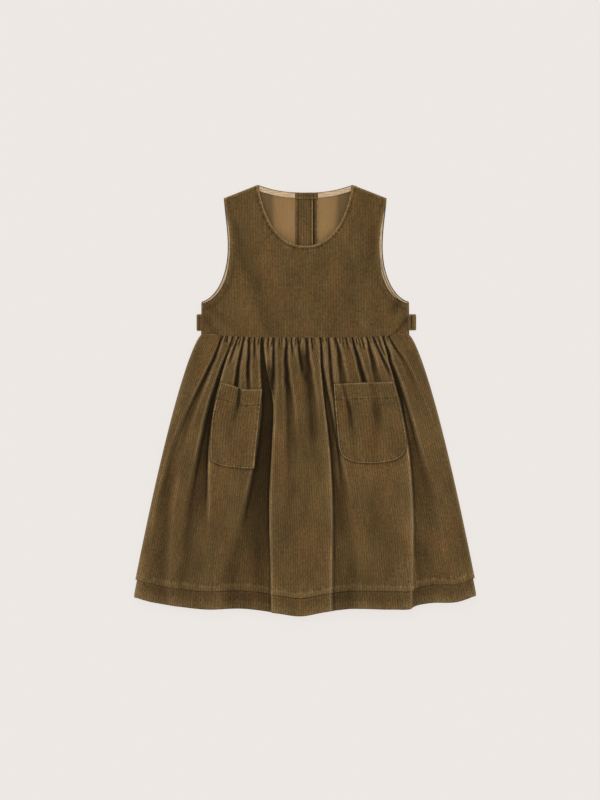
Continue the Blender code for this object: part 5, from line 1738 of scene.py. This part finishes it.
def pocket_stitching(made, twine):
    """Topstitching inside each pocket's sides and bottom, and along its hem."""
    paths = []
    for outer, from_edge, from_top in made.values():
        height, width = from_edge.shape
        down, over = range(3, height - 14), range(5, width - 5)
        for half in (slice(0, width // 2), slice(width // 2, None)):
            paths.append(grid_path(outer, from_edge, POCKET_STITCH, down, [half] * len(down)))
        paths.append(grid_path(outer, from_edge, POCKET_STITCH, [slice(height // 2, None)] * len(over), over))
        paths.append(grid_path(outer, from_top, POCKET_HEM, [slice(0, height // 2)] * len(over), over))
    stitches("pocket_topstitching", paths, "corduroy", twine)


def placket_stitching(twine):
    y = np.linspace(waist_y(0) + 2.0, NECK_BACK_Y - CAP_DEPTH - 1.0, 120)
    paths = []
    for x, low in ((LEFT_FACING[0] + PLACKET_STITCH, back_left_low),
                   (RIGHT_FACING[1] - PLACKET_STITCH, back_right_low)):
        z = low(np.full(len(y), x)) + 2 * CLOTH + SEAM - 0.25
        paths.append(np.column_stack([np.full(len(y), x), y, z]))
    stitches("placket_topstitching", paths, "corduroy", twine)


def buttonholes(twine):
    """Close-set stitches round each slit in the half that laps over, on its outside."""
    paths = []
    for y in BUTTON_YS:
        for turn in np.linspace(0, 2 * np.pi, BUTTONHOLE_STITCHES, endpoint=False):
            straight = BUTTONHOLE_HALF * np.clip(1.9 * np.cos(turn), -1, 1)
            away = np.array([0.35 * np.cos(turn), np.sin(turn)])
            inner = np.array([BUTTON_X + straight, y]) + 0.35 * away
            outer = inner + 1.5 * away / np.hypot(*away)
            ends = np.linspace(inner, outer, 3)
            paths.append(np.column_stack([ends, np.full(3, OUTER_LIFT - 0.1)]))
    stitches("buttonhole_stitching", paths, "corduroy", twine, pitch=1.5, length=1.4, radius=0.2)


# The dress --------------------------------------------------------------------------------------------------

stage()
cloth = corduroy("corduroy")
bodice_cloth = corduroy("corduroy_bodice", groove_shade=0.42, mottle=0.15)
wrong_side = corduroy_inside()
sand = binding_cloth()
plastic = button_plastic()
olive_thread = thread("thread_olive", rgb(0.140, 0.082, 0.029))

bodice_front(bodice_cloth, wrong_side)
bodice_back("bodice_back_left", -1, INNER_EDGE, back_left_low, cloth, wrong_side)
bodice_back("bodice_back_right", 1, OUTER_EDGE, back_right_low, cloth, wrong_side)
placket_facing("placket_facing_left", *LEFT_FACING, back_left_low, LEFT_FACING[0] - 1, cloth)
placket_facing("placket_facing_right", *RIGHT_FACING, back_right_low, INNER_EDGE + 1, cloth)
neck_end = SHOULDER_NECK[0] - NECK_BINDING_END
neck_binding("neck_binding_left", INNER_EDGE - FACING_WIDTH - 2 * SEAM, -neck_end, back_left_low, sand)
neck_binding("neck_binding_right", OUTER_EDGE + FACING_WIDTH + SEAM, neck_end, back_right_low, sand)
armhole_binding("armhole_binding_left", -1, sand)
armhole_binding("armhole_binding_right", 1, sand)
skirt_front(cloth, wrong_side)
skirt_back(cloth, wrong_side)
pockets = {name: pocket(name, edges, cloth) for name, edges in POCKETS.items()}
for loop_name, loop in LOOPS.items():
    belt_loop(loop_name, cloth=cloth, **loop)
for number, button_y in enumerate(BUTTON_YS, start=1):
    button(number, button_y, plastic, olive_thread)
bodice_stitching(olive_thread)
skirt_stitching(olive_thread)
pocket_stitching(pockets, olive_thread)
placket_stitching(olive_thread)
buttonholes(olive_thread)

boxes = [[list(corner) for corner in box] for box in (CAD_BOX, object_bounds())]
